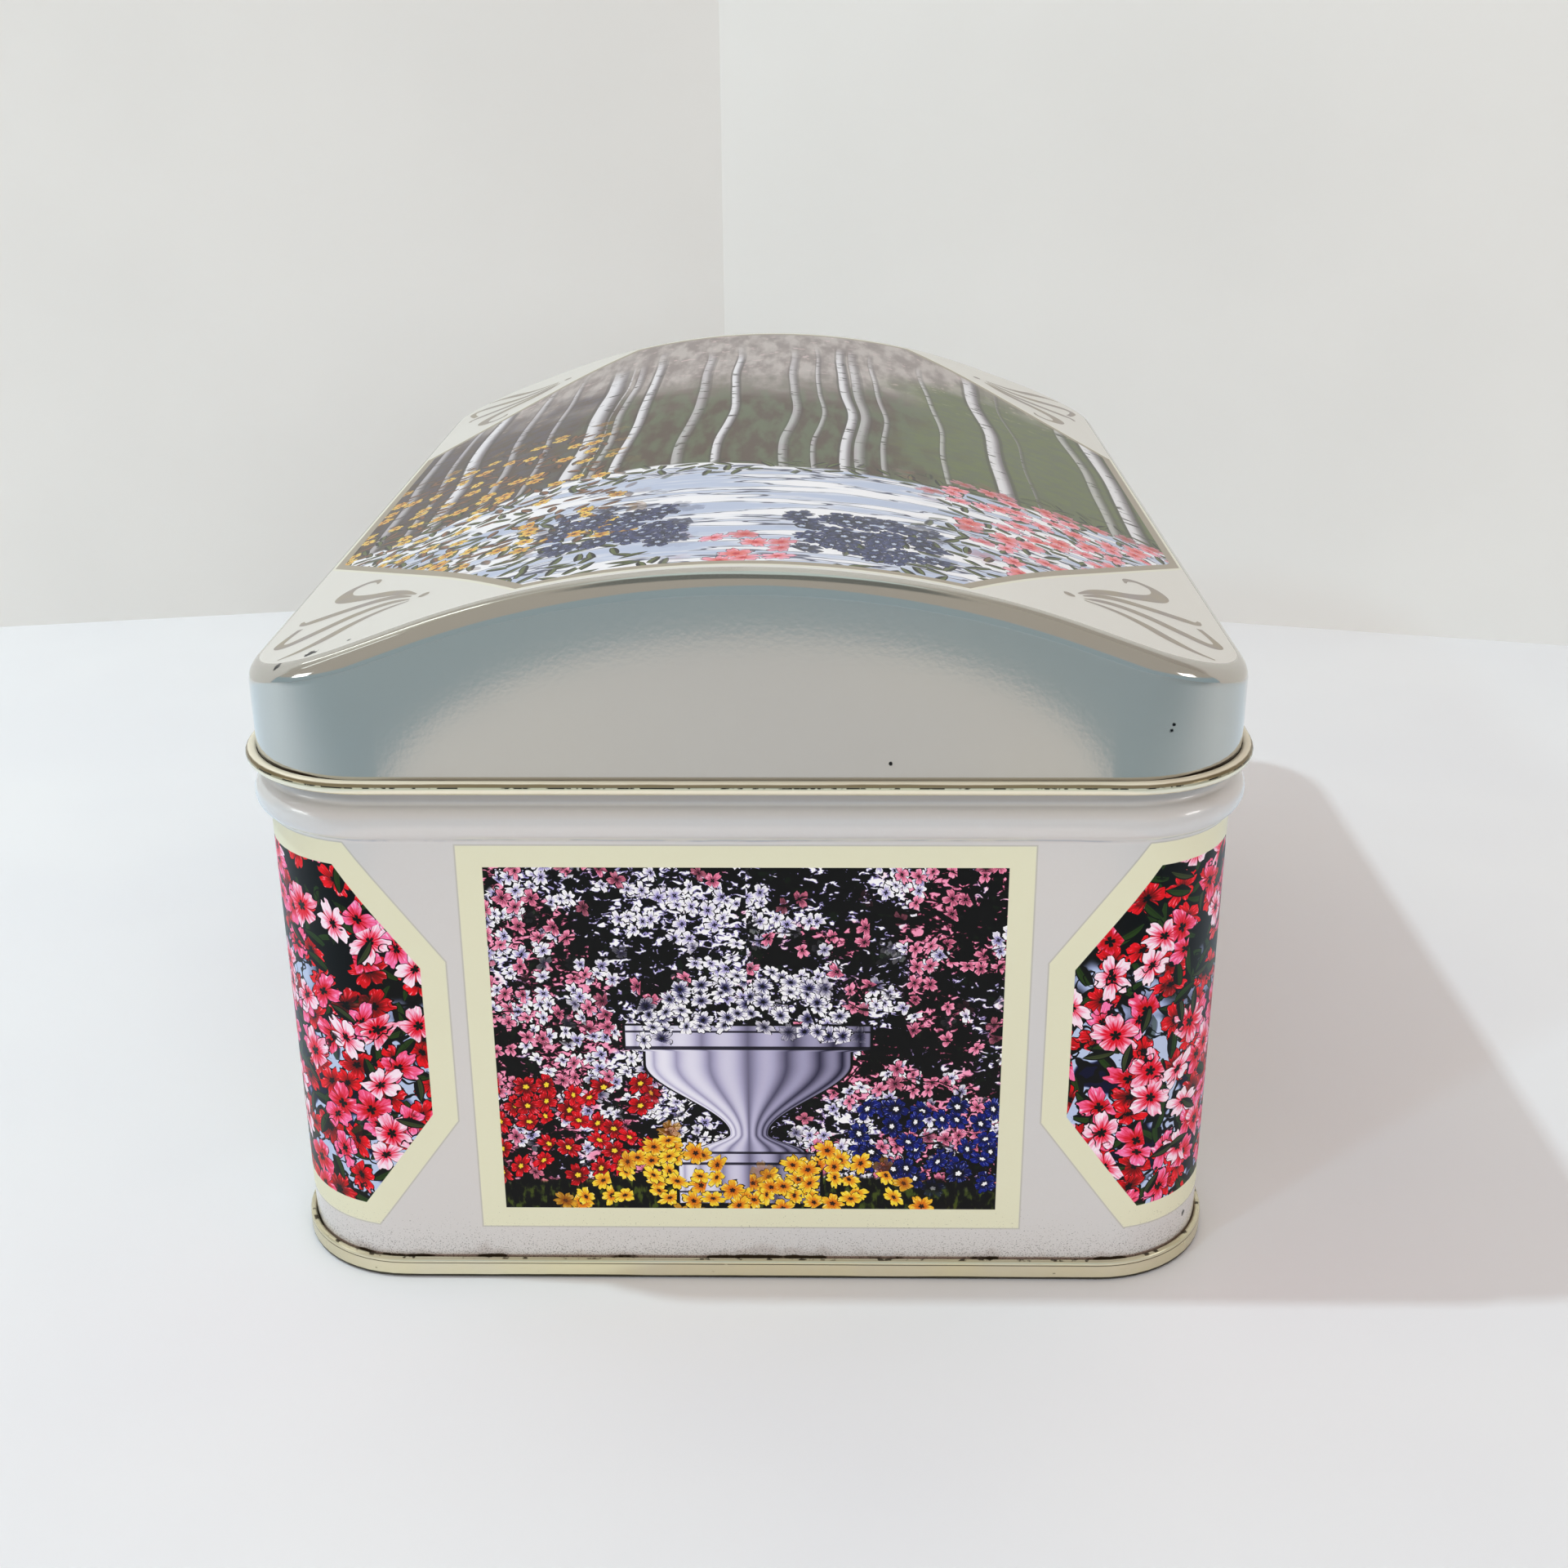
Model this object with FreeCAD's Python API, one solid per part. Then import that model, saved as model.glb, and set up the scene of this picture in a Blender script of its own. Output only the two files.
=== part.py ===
import FreeCAD, Part
import math
import os

# Tin box with a domed lift-off lid, in millimetres.
# The origin is the middle of the foot, Z is up, X runs across the ends and Y along the box.
# Every piece is folded from one gauge of tinplate, so its sections are drawn as the middle
# line of the sheet and then carried round a rounded rectangle.

# Sheet
sheet = 0.25               # gauge of the tinplate
fold_gap = 0.02            # air between layers that are folded together
hook_end_gap = 0.12        # air past the raw end of a folded hook
curl_gap = 0.05            # air between a curl's raw end and the sheet it rolls back to
overrun = 1.0              # how far a cutting block stands past what it cuts

# Body
body_width = 108.4         # across the outside of the walls
body_length = 153.4        # along the outside of the walls
body_corner_radius = 13.5  # outside of a corner, in plan
bead_centre_height = 57.7  # crest of the stop bead above the table
bead_height = 6.4          # foot to foot
bead_depth = 1.5           # how far the bead stands out of the wall
bead_foot_radius = 0.9     # bend at each foot of the bead, to the middle of the sheet
rim_radius = 0.75          # outside of the rolled top edge

# Lock seam down the middle of the back wall
lock_width = 3.0           # between the centres of the two hooked folds
lock_lead = 0.6            # plain sheet before the first fold
lock_end_gap = 0.6         # from the seam's ends to the base panel and to the bead
joggle_angle = 60.0        # slope of the step that takes the sheet in behind the folds

# Base
seam_height = 2.6          # of the double seam, from the table
seam_bend_radius = 0.4     # outside of the seam's two lower bends
panel_height = 3.4         # underside of the countersunk panel above the table
panel_bend_radius = 0.8    # from the countersink wall into the panel, middle of the sheet
panel_border = 5.0         # flat border between the countersink wall and the raised panel
panel_step = 0.7           # how far the middle of the panel is raised
panel_step_angle = 40.0    # slope of that step
panel_inner_border = 1.0   # flat beyond the step, where the plain middle begins

# Lid
lid_clearance = 0.55       # air between the body wall and the skirt
lid_curl_radius = 0.76     # outside of the hollow wire round the skirt
lid_drop_gap = 1.15        # from the bead's upper foot to the underside of the wire
skirt_height = 10.7        # underside of the wire to the sharp corner of the eaves
crown_radius = 104.0       # of the arched middle
shoulder_angle = 20.0      # slope of the flat shoulders beside the crown
lid_edge_radius = 2.5      # outside rounding between the top and the skirt
seat_gap = 0.2             # air between the rolled rim and the lid that rests on it

# Worked out from the sizes above
lid_offset = lid_clearance + sheet
lid_width = body_width + 2 * lid_offset
lid_length = body_length + 2 * lid_offset
lid_corner_radius = body_corner_radius + lid_offset
curl_bottom = bead_centre_height + bead_height / 2 + lid_drop_gap
curl_centre = curl_bottom + lid_curl_radius
eave_height = curl_bottom + skirt_height
shoulder = math.radians(shoulder_angle)
crown_run = crown_radius * math.sin(shoulder)
shoulder_run = lid_width / 2 - crown_run
crest_height = eave_height + crown_radius * (1 - math.cos(shoulder)) + shoulder_run * math.tan(shoulder)

fold_radius = sheet + fold_gap                  # middle of a fold that holds one layer inside
fold_outside = fold_radius + sheet / 2
body_fold_centre = sheet + fold_gap + fold_outside
seam_fold_centre = seam_height - fold_outside

UP = FreeCAD.Vector(0, 0, 1)
ORIGIN = FreeCAD.Vector(0, 0, 0)


class Strip:
    """A section of sheet, drawn along its middle line as straight runs and bends.

    Across is measured outwards and along upwards; a heading of 0 degrees points outwards and
    90 degrees points up. Positive bends turn to the left.
    """

    def __init__(self, across, along, heading):
        self.point = FreeCAD.Vector(across, 0, along)
        self.heading = math.radians(heading)
        self.left = []
        self.right = []

    def _to_left(self, distance, heading):
        return FreeCAD.Vector(-math.sin(heading), 0, math.cos(heading)) * distance

    def run(self, length):
        """Straight sheet of the given length."""
        step = FreeCAD.Vector(math.cos(self.heading), 0, math.sin(self.heading)) * length
        for side, distance in ((self.left, sheet / 2), (self.right, -sheet / 2)):
            start = self.point + self._to_left(distance, self.heading)
            side.append(Part.makeLine(start, start + step))
        self.point = self.point + step
        return self

    def bend(self, radius, angle):
        """Round bend of the sheet's middle line through an angle in degrees."""
        hand = math.copysign(1, angle)
        centre = self.point + self._to_left(hand * radius, self.heading)
        ends = [self.heading, self.heading + math.radians(angle) / 2, self.heading + math.radians(angle)]
        for side, distance in ((self.left, sheet / 2), (self.right, -sheet / 2)):
            places = [centre - self._to_left(hand * radius - distance, heading) for heading in ends]
            side.append(Part.Arc(*places).toShape())
        self.heading = ends[-1]
        self.point = centre - self._to_left(hand * radius, self.heading)
        return self

    def step(self, radius, angle):
        """Two equal and opposite bends, which shift the sheet sideways."""
        return self.bend(radius, angle).bend(radius, -angle)

    def face(self):
        """The closed section, with its two raw ends cut square."""
        tail = Part.makeLine(self.left[0].firstVertex().Point, self.right[0].firstVertex().Point)
        head = Part.makeLine(self.left[-1].lastVertex().Point, self.right[-1].lastVertex().Point)
        return Part.Face(Part.Wire([tail] + self.left + [head] + self.right[::-1]))


def rounded_rectangle(width, length, radius, height):
    """Flat face with round corners, centred on the Z axis."""
    low = FreeCAD.Vector(-width / 2, -length / 2, height)
    block = Part.makePlane(width, length, low).extrude(UP)
    upright = [edge for edge in block.Edges if abs(edge.tangentAt(edge.FirstParameter).z) > math.cos(shoulder)]
    return min(block.makeFillet(radius, upright).Faces, key=lambda face: face.CenterOfMass.z)


def carried_round(section, width, length, radius):
    """A section carried round a rounded rectangle; across is measured from that outline."""
    pieces = []
    for quarter in range(4):
        reach, half_run = (length / 2, width / 2) if quarter % 2 else (width / 2, length / 2)
        straight = half_run - radius
        side = section.translated(FreeCAD.Vector(reach, -straight, 0))
        pieces.append(side.extrude(FreeCAD.Vector(0, 2 * straight, 0)))
        corner = section.translated(FreeCAD.Vector(reach, straight, 0))
        pieces.append(corner.revolve(FreeCAD.Vector(reach - radius, straight, 0), UP, 90))
        for piece in pieces[-2:]:
            piece.rotate(ORIGIN, UP, 90 * quarter)
    return pieces[0].multiFuse(pieces[1:]).removeSplitter()


def curl_turn(radius):
    """Degrees that a curl of this outside radius turns before it meets its own sheet."""
    return 360 - math.degrees(math.acos((radius - sheet - curl_gap) / radius))


def shift_radius(shift, angle):
    """Bend radius of a two-bend step that shifts the sheet by a distance."""
    return shift / (2 * (1 - math.cos(math.radians(angle))))


def rim_centre_height():
    """Height of the rolled rim's centre, where it carries the rounded eaves of the lid."""
    inside = lid_width / 2 - lid_edge_radius
    shoulder_height = eave_height + (lid_width / 2 - inside) * math.tan(shoulder)
    round_centre = shoulder_height - lid_edge_radius / math.cos(shoulder)
    reach = lid_edge_radius - sheet - rim_radius - seat_gap
    across = lid_edge_radius - lid_offset - rim_radius
    return round_centre + math.sqrt(reach ** 2 - across ** 2)


def body_section():
    """From the hooked lower edge up the wall, over the bead and round the rolled rim."""
    hook_top = seam_fold_centre - hook_end_gap
    bead_turn = 2 * math.degrees(math.atan(2 * bead_depth / bead_height))
    bead_reach = bead_height / 2 / math.sin(math.radians(bead_turn))
    bead_radius = bead_reach - bead_foot_radius
    bead_foot = bead_centre_height - bead_height / 2
    strip = Strip(2 * fold_radius - sheet / 2, hook_top, -90)
    strip.run(hook_top - body_fold_centre).bend(fold_radius, -180)
    strip.run(bead_foot - body_fold_centre)
    strip.bend(bead_foot_radius, -bead_turn).bend(bead_radius, 2 * bead_turn).bend(bead_foot_radius, -bead_turn)
    strip.run(rim_centre_height() - bead_foot - bead_height)
    strip.bend(rim_radius - sheet / 2, curl_turn(rim_radius))
    return strip.face()


def lock_layers(low, high):
    """The two hooked folds of the lock seam, on the inside of the back wall."""
    hook = lock_width - hook_end_gap
    step_radius = shift_radius(3 * fold_radius, joggle_angle)
    step_run = 2 * step_radius * math.sin(math.radians(joggle_angle))
    outer = Strip(-sheet / 2, -lock_width / 2 - lock_lead, 90)
    outer.run(lock_width + lock_lead).bend(fold_radius, 180).run(hook)
    inner = Strip(-sheet / 2, lock_width / 2 + step_run + lock_lead, -90)
    inner.run(lock_lead).step(step_radius, -joggle_angle)
    inner.run(lock_width).bend(fold_radius, 180).run(hook)
    layers = []
    for strip in (outer, inner):
        section = strip.face()
        section.rotate(ORIGIN, FreeCAD.Vector(1, 0, 0), -90)
        section.translate(FreeCAD.Vector(body_width / 2, 0, low))
        layers.append(section.extrude(UP * (high - low)))
    return layers


def body_wall():
    """The wrapped body, opened at the back for its lock seam."""
    wall = carried_round(body_section(), body_width, body_length, body_corner_radius)
    low = panel_height + panel_step + sheet + lock_end_gap
    high = bead_centre_height - bead_height / 2 - lock_end_gap
    layers = lock_layers(low, high)
    first = min(layer.BoundBox.YMin for layer in layers)
    last = max(layer.BoundBox.YMax for layer in layers)
    corner = FreeCAD.Vector(body_width / 2 - overrun, first, low)
    window = Part.makeBox(2 * overrun, last - first, high - low, corner)
    return wall.cut(window).multiFuse(layers).removeSplitter()


def base_plate():
    """The countersunk plate, with its edge rolled round the body's flange."""
    lower_bend = seam_bend_radius - sheet / 2
    hook_low = body_fold_centre + hook_end_gap
    panel_middle = panel_height + sheet / 2
    step_radius = shift_radius(panel_step, panel_step_angle)
    strip = Strip(fold_gap + sheet / 2, hook_low, 90)
    strip.run(seam_fold_centre - hook_low).bend(fold_radius, -180)
    strip.run(seam_fold_centre - seam_bend_radius).bend(lower_bend, -90)
    strip.run(4 * fold_radius - 2 * lower_bend).bend(lower_bend, -90)
    strip.run(panel_middle - panel_bend_radius - seam_bend_radius).bend(panel_bend_radius, 90)
    strip.run(panel_border).step(step_radius, -panel_step_angle).run(panel_inner_border)
    inset = -strip.point.x
    edge = carried_round(strip.face(), body_width, body_length, body_corner_radius)
    middle = rounded_rectangle(body_width - 2 * inset, body_length - 2 * inset,
                               body_corner_radius - inset, panel_height + panel_step)
    return edge.fuse(middle.extrude(UP * sheet)).removeSplitter()


def domed_block(inset):
    """Solid under the lid's top, drawn in from its outside by a distance, edges rounded."""
    plan = rounded_rectangle(lid_width - 2 * inset, lid_length - 2 * inset,
                             lid_corner_radius - inset, curl_centre)
    block = plan.extrude(UP * (crest_height - curl_centre))
    centre = crest_height - crown_radius
    radius = crown_radius - inset
    tangent = FreeCAD.Vector(radius * math.sin(shoulder), 0, centre + radius * math.cos(shoulder))
    out = FreeCAD.Vector(lid_width, 0, -lid_width * math.tan(shoulder))
    right = [tangent, tangent + out]
    left = [FreeCAD.Vector(-place.x, 0, place.z) for place in right]
    crest = FreeCAD.Vector(0, 0, centre + radius)
    outline = [Part.makeLine(left[1], left[0]), Part.Arc(left[0], crest, right[0]).toShape(),
               Part.makeLine(right[0], right[1]), Part.makeLine(right[1], left[1])]
    under = Part.Face(Part.Wire(outline)).extrude(FreeCAD.Vector(0, lid_length + 2 * overrun, 0))
    under.translate(FreeCAD.Vector(0, -lid_length / 2 - overrun, 0))
    skirt = plan.extrude(UP * (eave_height - curl_centre - lid_edge_radius))
    dome = block.common(under.fuse(skirt)).removeSplitter()
    return dome.makeFillet(lid_edge_radius - inset, eave_edges(dome))


def eave_edges(dome):
    """Edges between the top faces and the upright walls."""
    walls = []
    tops = []
    for face in dome.Faces:
        low_u, high_u, low_v, high_v = face.ParameterRange
        rise = face.normalAt((low_u + high_u) / 2, (low_v + high_v) / 2).z
        if rise > math.sin(shoulder):
            tops.append(face)
        elif rise > -math.sin(shoulder):
            walls.append(face)
    return [edge for face in tops for edge in face.Edges
            if any(edge.isSame(other) for wall in walls for other in wall.Edges)]


def lid_shell():
    """The drawn lid, with its skirt curled outwards into a hollow wire."""
    shell = domed_block(0).cut(domed_block(sheet))
    wire = Strip(-sheet / 2, curl_centre, -90).bend(lid_curl_radius - sheet / 2, curl_turn(lid_curl_radius))
    ring = carried_round(wire.face(), lid_width, lid_length, lid_corner_radius)
    return shell.fuse(ring).removeSplitter()


os.makedirs("parts", exist_ok=True)
for name, build in (("body_wall", body_wall), ("base_plate", base_plate), ("lid_shell", lid_shell)):
    piece = build()
    piece.exportStep("parts/" + name + ".step")
    box = piece.BoundBox
    print(name, piece.ShapeType, len(piece.Solids), "solid", piece.isValid(), "volume", round(piece.Volume, 1),
          "faces", len(piece.Faces), "x", round(box.XMin, 2), round(box.XMax, 2),
          "y", round(box.YMin, 2), round(box.YMax, 2), "z", round(box.ZMin, 3), round(box.ZMax, 3))
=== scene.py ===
"""Looks of the tin box: fine folded-sheet meshes, lithographed prints, stage, light and camera.

Sizes are in millimetres until a mesh is made; meshes are in metres. The frame is the CAD frame:
the origin is the middle of the foot, Z is up, X runs across the ends and Y along the box.
"""

from __future__ import annotations

import logging
import math
from dataclasses import dataclass
from enum import Enum
from functools import cache
from typing import Callable, Iterable, Sequence, Union

import bmesh
import bpy
from bpy.types import Material, Mesh, Node, NodeSocket, NodeTree, Object
from mathutils import Matrix, Vector

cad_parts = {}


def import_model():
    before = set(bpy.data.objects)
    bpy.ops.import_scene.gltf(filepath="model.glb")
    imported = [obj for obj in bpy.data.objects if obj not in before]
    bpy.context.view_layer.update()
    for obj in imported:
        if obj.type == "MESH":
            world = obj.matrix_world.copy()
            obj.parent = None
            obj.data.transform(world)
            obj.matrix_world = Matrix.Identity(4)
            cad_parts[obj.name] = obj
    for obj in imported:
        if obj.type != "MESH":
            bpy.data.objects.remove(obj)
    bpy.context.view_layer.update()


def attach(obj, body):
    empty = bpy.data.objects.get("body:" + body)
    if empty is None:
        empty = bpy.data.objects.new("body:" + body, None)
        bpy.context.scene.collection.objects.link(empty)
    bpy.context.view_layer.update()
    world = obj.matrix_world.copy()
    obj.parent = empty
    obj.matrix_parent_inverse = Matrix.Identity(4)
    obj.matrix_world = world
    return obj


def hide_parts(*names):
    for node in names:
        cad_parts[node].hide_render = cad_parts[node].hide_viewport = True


logging.basicConfig(level=logging.INFO, format="%(name)s: %(message)s")
log = logging.getLogger("tin_box")

MM = 0.001
TOUCH = MM / 1e4  # points closer than this are one
TAU = 2 * math.pi

Colour = tuple[float, float, float, float]
Point = tuple[float, float]
Triple = tuple[float, float, float]
Outline = list[tuple[Vector, float]]
Number = Union["Ink", float]
Tint = Union[Colour, NodeSocket]
Region = Callable[["Ink", "Ink"], "Ink"]


def ink_colour(red: int, green: int, blue: int) -> Colour:
    """Turns a colour as it is seen, 0 to 255, into scene-linear values.

    Args:
        red: Red as seen.
        green: Green as seen.
        blue: Blue as seen.

    Returns:
        The linear colour with full opacity.
    """
    def linear(part: int) -> float:
        """One channel of the sRGB curve."""
        share = part / 255
        return share / 12.92 if share <= 0.04045 else ((share + 0.055) / 1.055) ** 2.4

    return (linear(red), linear(green), linear(blue), 1.0)


@dataclass(frozen=True)
class Inks:
    """Colours that the prints share."""

    silver: Colour = ink_colour(217, 213, 210)
    silver_cool: Colour = ink_colour(213, 211, 210)
    lid_silver: Colour = ink_colour(197, 193, 184)
    lid_silver_cool: Colour = ink_colour(193, 190, 184)
    cream: Colour = ink_colour(233, 232, 203)
    cream_shade: Colour = ink_colour(227, 225, 198)
    cream_edge: Colour = ink_colour(176, 172, 156)
    lid_cream: Colour = ink_colour(224, 221, 215)
    taupe: Colour = ink_colour(166, 155, 138)
    taupe_cool: Colour = ink_colour(160, 150, 146)
    black: Colour = ink_colour(9, 8, 9)
    # Dark dirt colour, also laid as painted shade under the lid's curl and in the lid's crevice
    grime_and_shade: Colour = ink_colour(46, 32, 20)
    bronze: Colour = ink_colour(112, 94, 62)
    rust: Colour = ink_colour(122, 84, 58)
    # Colour of the painted bluish reflection at the foot of the bead
    bead_reflection: Colour = ink_colour(150, 160, 182)
    white: Colour = ink_colour(246, 244, 250)
    lavender: Colour = ink_colour(170, 165, 196)
    rose: Colour = ink_colour(236, 172, 190)
    mauve: Colour = ink_colour(168, 112, 134)
    crimson: Colour = ink_colour(196, 32, 66)
    coral: Colour = ink_colour(222, 118, 108)
    yellow: Colour = ink_colour(242, 208, 104)
    amber: Colour = ink_colour(204, 142, 58)
    navy: Colour = ink_colour(30, 42, 92)
    sky: Colour = ink_colour(188, 196, 218)
    leaf: Colour = ink_colour(46, 66, 40)
    leaf_dark: Colour = ink_colour(24, 34, 24)
    grass: Colour = ink_colour(112, 122, 70)
    moss: Colour = ink_colour(104, 112, 84)
    bark: Colour = ink_colour(92, 72, 56)
    haze: Colour = ink_colour(188, 181, 178)


INKS = Inks()


# Numbers and colours that vary over a sheet

class Ink:
    """A number that varies over a sheet, carried by a node socket; arithmetic makes Math nodes."""

    def __init__(self, tree: NodeTree, socket: NodeSocket) -> None:
        """Wraps a socket of a node tree."""
        self.tree = tree
        self.socket = socket

    def math(self, operation: str, *values: Number) -> Ink:
        """Makes a Math node on the given values, this one not included.

        Args:
            operation: What the node works out.
            values: What goes in, in order.

        Returns:
            The result.
        """
        node = self.tree.nodes.new("ShaderNodeMath")
        node.operation = operation
        for socket, value in zip(node.inputs, values):
            feed(self.tree, socket, value)
        return Ink(self.tree, node.outputs[0])

    def __add__(self, other: Number) -> Ink:
        """Sum."""
        return self.math("ADD", self, other)

    def __sub__(self, other: Number) -> Ink:
        """Difference."""
        return self.math("SUBTRACT", self, other)

    def __rsub__(self, other: Number) -> Ink:
        """Difference from a plain number."""
        return self.math("SUBTRACT", other, self)

    def __mul__(self, other: Number) -> Ink:
        """Product."""
        return self.math("MULTIPLY", self, other)

    def __truediv__(self, other: Number) -> Ink:
        """Quotient."""
        return self.math("DIVIDE", self, other)

    def __rtruediv__(self, other: Number) -> Ink:
        """Quotient of a plain number by this value."""
        return self.math("DIVIDE", other, self)

    def __abs__(self) -> Ink:
        """Size without sign."""
        return self.math("ABSOLUTE", self)

    __radd__ = __add__
    __rmul__ = __mul__

    def least(self, other: Number) -> Ink:
        """The smaller of two values."""
        return self.math("MINIMUM", self, other)

    def most(self, other: Number) -> Ink:
        """The larger of two values."""
        return self.math("MAXIMUM", self, other)

    def power(self, exponent: float) -> Ink:
        """This value, raised."""
        return self.math("POWER", self, exponent)

    def cosine(self) -> Ink:
        """Cosine of an angle in radians."""
        return self.math("COSINE", self)

    def sine(self) -> Ink:
        """Sine of an angle in radians."""
        return self.math("SINE", self)

    def sign(self) -> Ink:
        """Minus one, zero or one."""
        return self.math("SIGN", self)

    def angle(self, along: Ink) -> Ink:
        """Angle whose rise is this value and whose run is another."""
        return self.math("ARCTAN2", self, along)

    def over(self, limit: Number) -> Ink:
        """One where this value is above a limit, else zero."""
        return self.math("GREATER_THAN", self, limit)

    def ramp(self, low: float, high: float) -> Ink:
        """Smooth rise from 0 at one value to 1 at another; the first may be the larger.

        Args:
            low: Value that gives 0.
            high: Value that gives 1.

        Returns:
            The eased share between the two, held to 0..1.
        """
        node = self.tree.nodes.new("ShaderNodeMapRange")
        node.interpolation_type = "SMOOTHSTEP"
        rising = low < high
        feed(self.tree, node.inputs["Value"], self)
        node.inputs["From Min"].default_value = low if rising else high
        node.inputs["From Max"].default_value = high if rising else low
        node.inputs["To Min"].default_value = 0.0 if rising else 1.0
        node.inputs["To Max"].default_value = 1.0 if rising else 0.0
        return Ink(self.tree, node.outputs["Result"])


def feed(tree: NodeTree, socket: NodeSocket, value: Union[Number, Tint]) -> None:
    """Sets a socket to a plain value, or links it to an ink or another socket.

    Args:
        tree: The tree that the socket is in.
        socket: The input to feed.
        value: What goes in.
    """
    if isinstance(value, Ink):
        value = value.socket
    if isinstance(value, NodeSocket):
        tree.links.new(value, socket)
    else:
        socket.default_value = value


def distance(*steps: Ink) -> Ink:
    """Length of a step whose given parts lie at right angles."""
    squares = [step.power(2.0) for step in steps]
    return sum(squares[1:], squares[0]).power(0.5)


@dataclass(frozen=True)
class Cell:
    """One patch of a scattered pattern, as seen from a point in it."""

    across: Ink
    up: Ink
    pick: Ink
    other: Ink
    middle: tuple[Ink, Ink]


# Sockets of a Mix node that carry its factor, its two colours and its result
MIX_FACTOR, MIX_COLOURS, MIX_RESULT = 0, (6, 7), 2


class Canvas:
    """A shader node tree that is drawn on: numbers, noise, scattered patches and layers of colour."""

    def __init__(self, tree: NodeTree) -> None:
        """Starts on a tree."""
        self.tree = tree
        self.colour: Tint = INKS.silver

    def node(self, kind: str) -> Node:
        """Adds a node."""
        return self.tree.nodes.new(kind)

    def vector(self, u: Number, v: Number, w: Number = 0.0) -> NodeSocket:
        """Joins three numbers into a place.

        Args:
            u: First coordinate.
            v: Second coordinate.
            w: Third coordinate.

        Returns:
            The socket of the place.
        """
        node = self.node("ShaderNodeCombineXYZ")
        for socket, value in zip(node.inputs, (u, v, w)):
            feed(self.tree, socket, value)
        return node.outputs[0]

    def noise(self, size: Number, detail: float = 2.0, stretch: Point = (1.0, 1.0), seed: Number = 0.0,
              flat: tuple[Ink, Ink] | None = None, swirl: float = 0.0) -> Ink:
        """Even cloudy noise, 0 to 1.

        Args:
            size: Width of a cloud in millimetres.
            detail: How many finer octaves are added.
            stretch: Squeeze along the first and second coordinate.
            seed: Shift that gives another pattern.
            flat: Two coordinates on the sheet; without them the noise is solid, in X, Y and Z.
            swirl: How far the clouds are drawn out into curved strokes.

        Returns:
            The noise value.
        """
        node = self.node("ShaderNodeTexNoise")
        feed(self.tree, node.inputs["Scale"], 1 / size)
        node.inputs["Detail"].default_value = detail
        node.inputs["Distortion"].default_value = swirl
        if flat:
            place = self.vector(flat[0] * stretch[0] + seed, flat[1] * stretch[1], seed)
        else:
            place = self.vector(self.x * stretch[0] + seed, self.y * stretch[0], self.z * stretch[1])
        feed(self.tree, node.inputs["Vector"], place)
        return Ink(self.tree, node.outputs["Fac"])

    def stamp(self, group: NodeTree, **values: Union[Number, Tint]) -> dict[str, NodeSocket]:
        """Stamps a node group.

        Args:
            group: The group.
            values: What goes into its inputs, by name.

        Returns:
            Its outputs by name.
        """
        node = self.node("ShaderNodeGroup")
        node.node_tree = group
        for label, value in values.items():
            feed(self.tree, node.inputs[label], value)
        return {socket.name: socket for socket in node.outputs}

    def cells(self, u: Ink, v: Ink, size: float, seed: float) -> Cell:
        """Scatters patches over the sheet, one chance point each.

        Args:
            u: Coordinate across the sheet in millimetres.
            v: Coordinate up the sheet in millimetres.
            size: Distance between neighbours.
            seed: Shift that gives another pattern.

        Returns:
            The patch that holds each point.
        """
        made = self.stamp(patch_group(), u=u, v=v, size=size, seed=seed)
        part = {label: Ink(self.tree, socket) for label, socket in made.items()}
        middle = (part["middle_u"], part["middle_v"])
        return Cell(part["across"], part["up"], part["pick"], part["other"], middle)

    def blend(self, first: Tint, second: Tint, share: Number, mode: str = "MIX") -> NodeSocket:
        """Mixes two colours.

        Args:
            first: Colour at share 0.
            second: Colour at share 1.
            share: How much of the second.
            mode: Blend mode of the Mix node.

        Returns:
            The socket of the mixed colour.
        """
        node = self.node("ShaderNodeMix")
        node.data_type = "RGBA"
        node.blend_type = mode
        node.clamp_factor = True
        feed(self.tree, node.inputs[MIX_FACTOR], share)
        for index, tint in zip(MIX_COLOURS, (first, second)):
            feed(self.tree, node.inputs[index], tint)
        return node.outputs[MIX_RESULT]

    def mirrored(self) -> Ink:
        """One for rays that come off a glossy face, else zero."""
        return Ink(self.tree, self.node("ShaderNodeLightPath").outputs["Is Glossy Ray"])

    def seen(self) -> Ink:
        """One for rays that come straight from the camera, else zero."""
        return Ink(self.tree, self.node("ShaderNodeLightPath").outputs["Is Camera Ray"])

    def lay(self, mask: Ink, tint: Tint) -> None:
        """Prints a colour over what is there, where a mask is 1."""
        self.colour = self.blend(self.colour, tint, mask)


class Stamp(Canvas):
    """A motif that is drawn once as a node group and stamped many times."""

    def __init__(self, name: str, numbers: Sequence[str], tints: Sequence[str] = (),
                 results: Sequence[str] = ()) -> None:
        """Starts a group.

        Args:
            name: Name of the group.
            numbers: Names of its number inputs.
            tints: Names of its colour inputs.
            results: Names of its number outputs.
        """
        super().__init__(bpy.data.node_groups.new(name, "ShaderNodeTree"))
        face = self.tree.interface
        for label in numbers:
            face.new_socket(label, in_out="INPUT", socket_type="NodeSocketFloat")
        for label in tints:
            face.new_socket(label, in_out="INPUT", socket_type="NodeSocketColor")
        for label in results:
            face.new_socket(label, in_out="OUTPUT", socket_type="NodeSocketFloat")
        if tints:
            face.new_socket("colour", in_out="OUTPUT", socket_type="NodeSocketColor")
        start = self.node("NodeGroupInput").outputs
        self.end = self.node("NodeGroupOutput").inputs
        self.number = {label: Ink(self.tree, start[label]) for label in numbers}
        self.tint = {label: start[label] for label in tints}

    def give(self, **results: Union[Ink, NodeSocket]) -> NodeTree:
        """Links the results to the outputs.

        Args:
            results: What goes out, by name.

        Returns:
            The group.
        """
        for label, value in results.items():
            feed(self.tree, self.end[label], value)
        return self.tree


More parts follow.
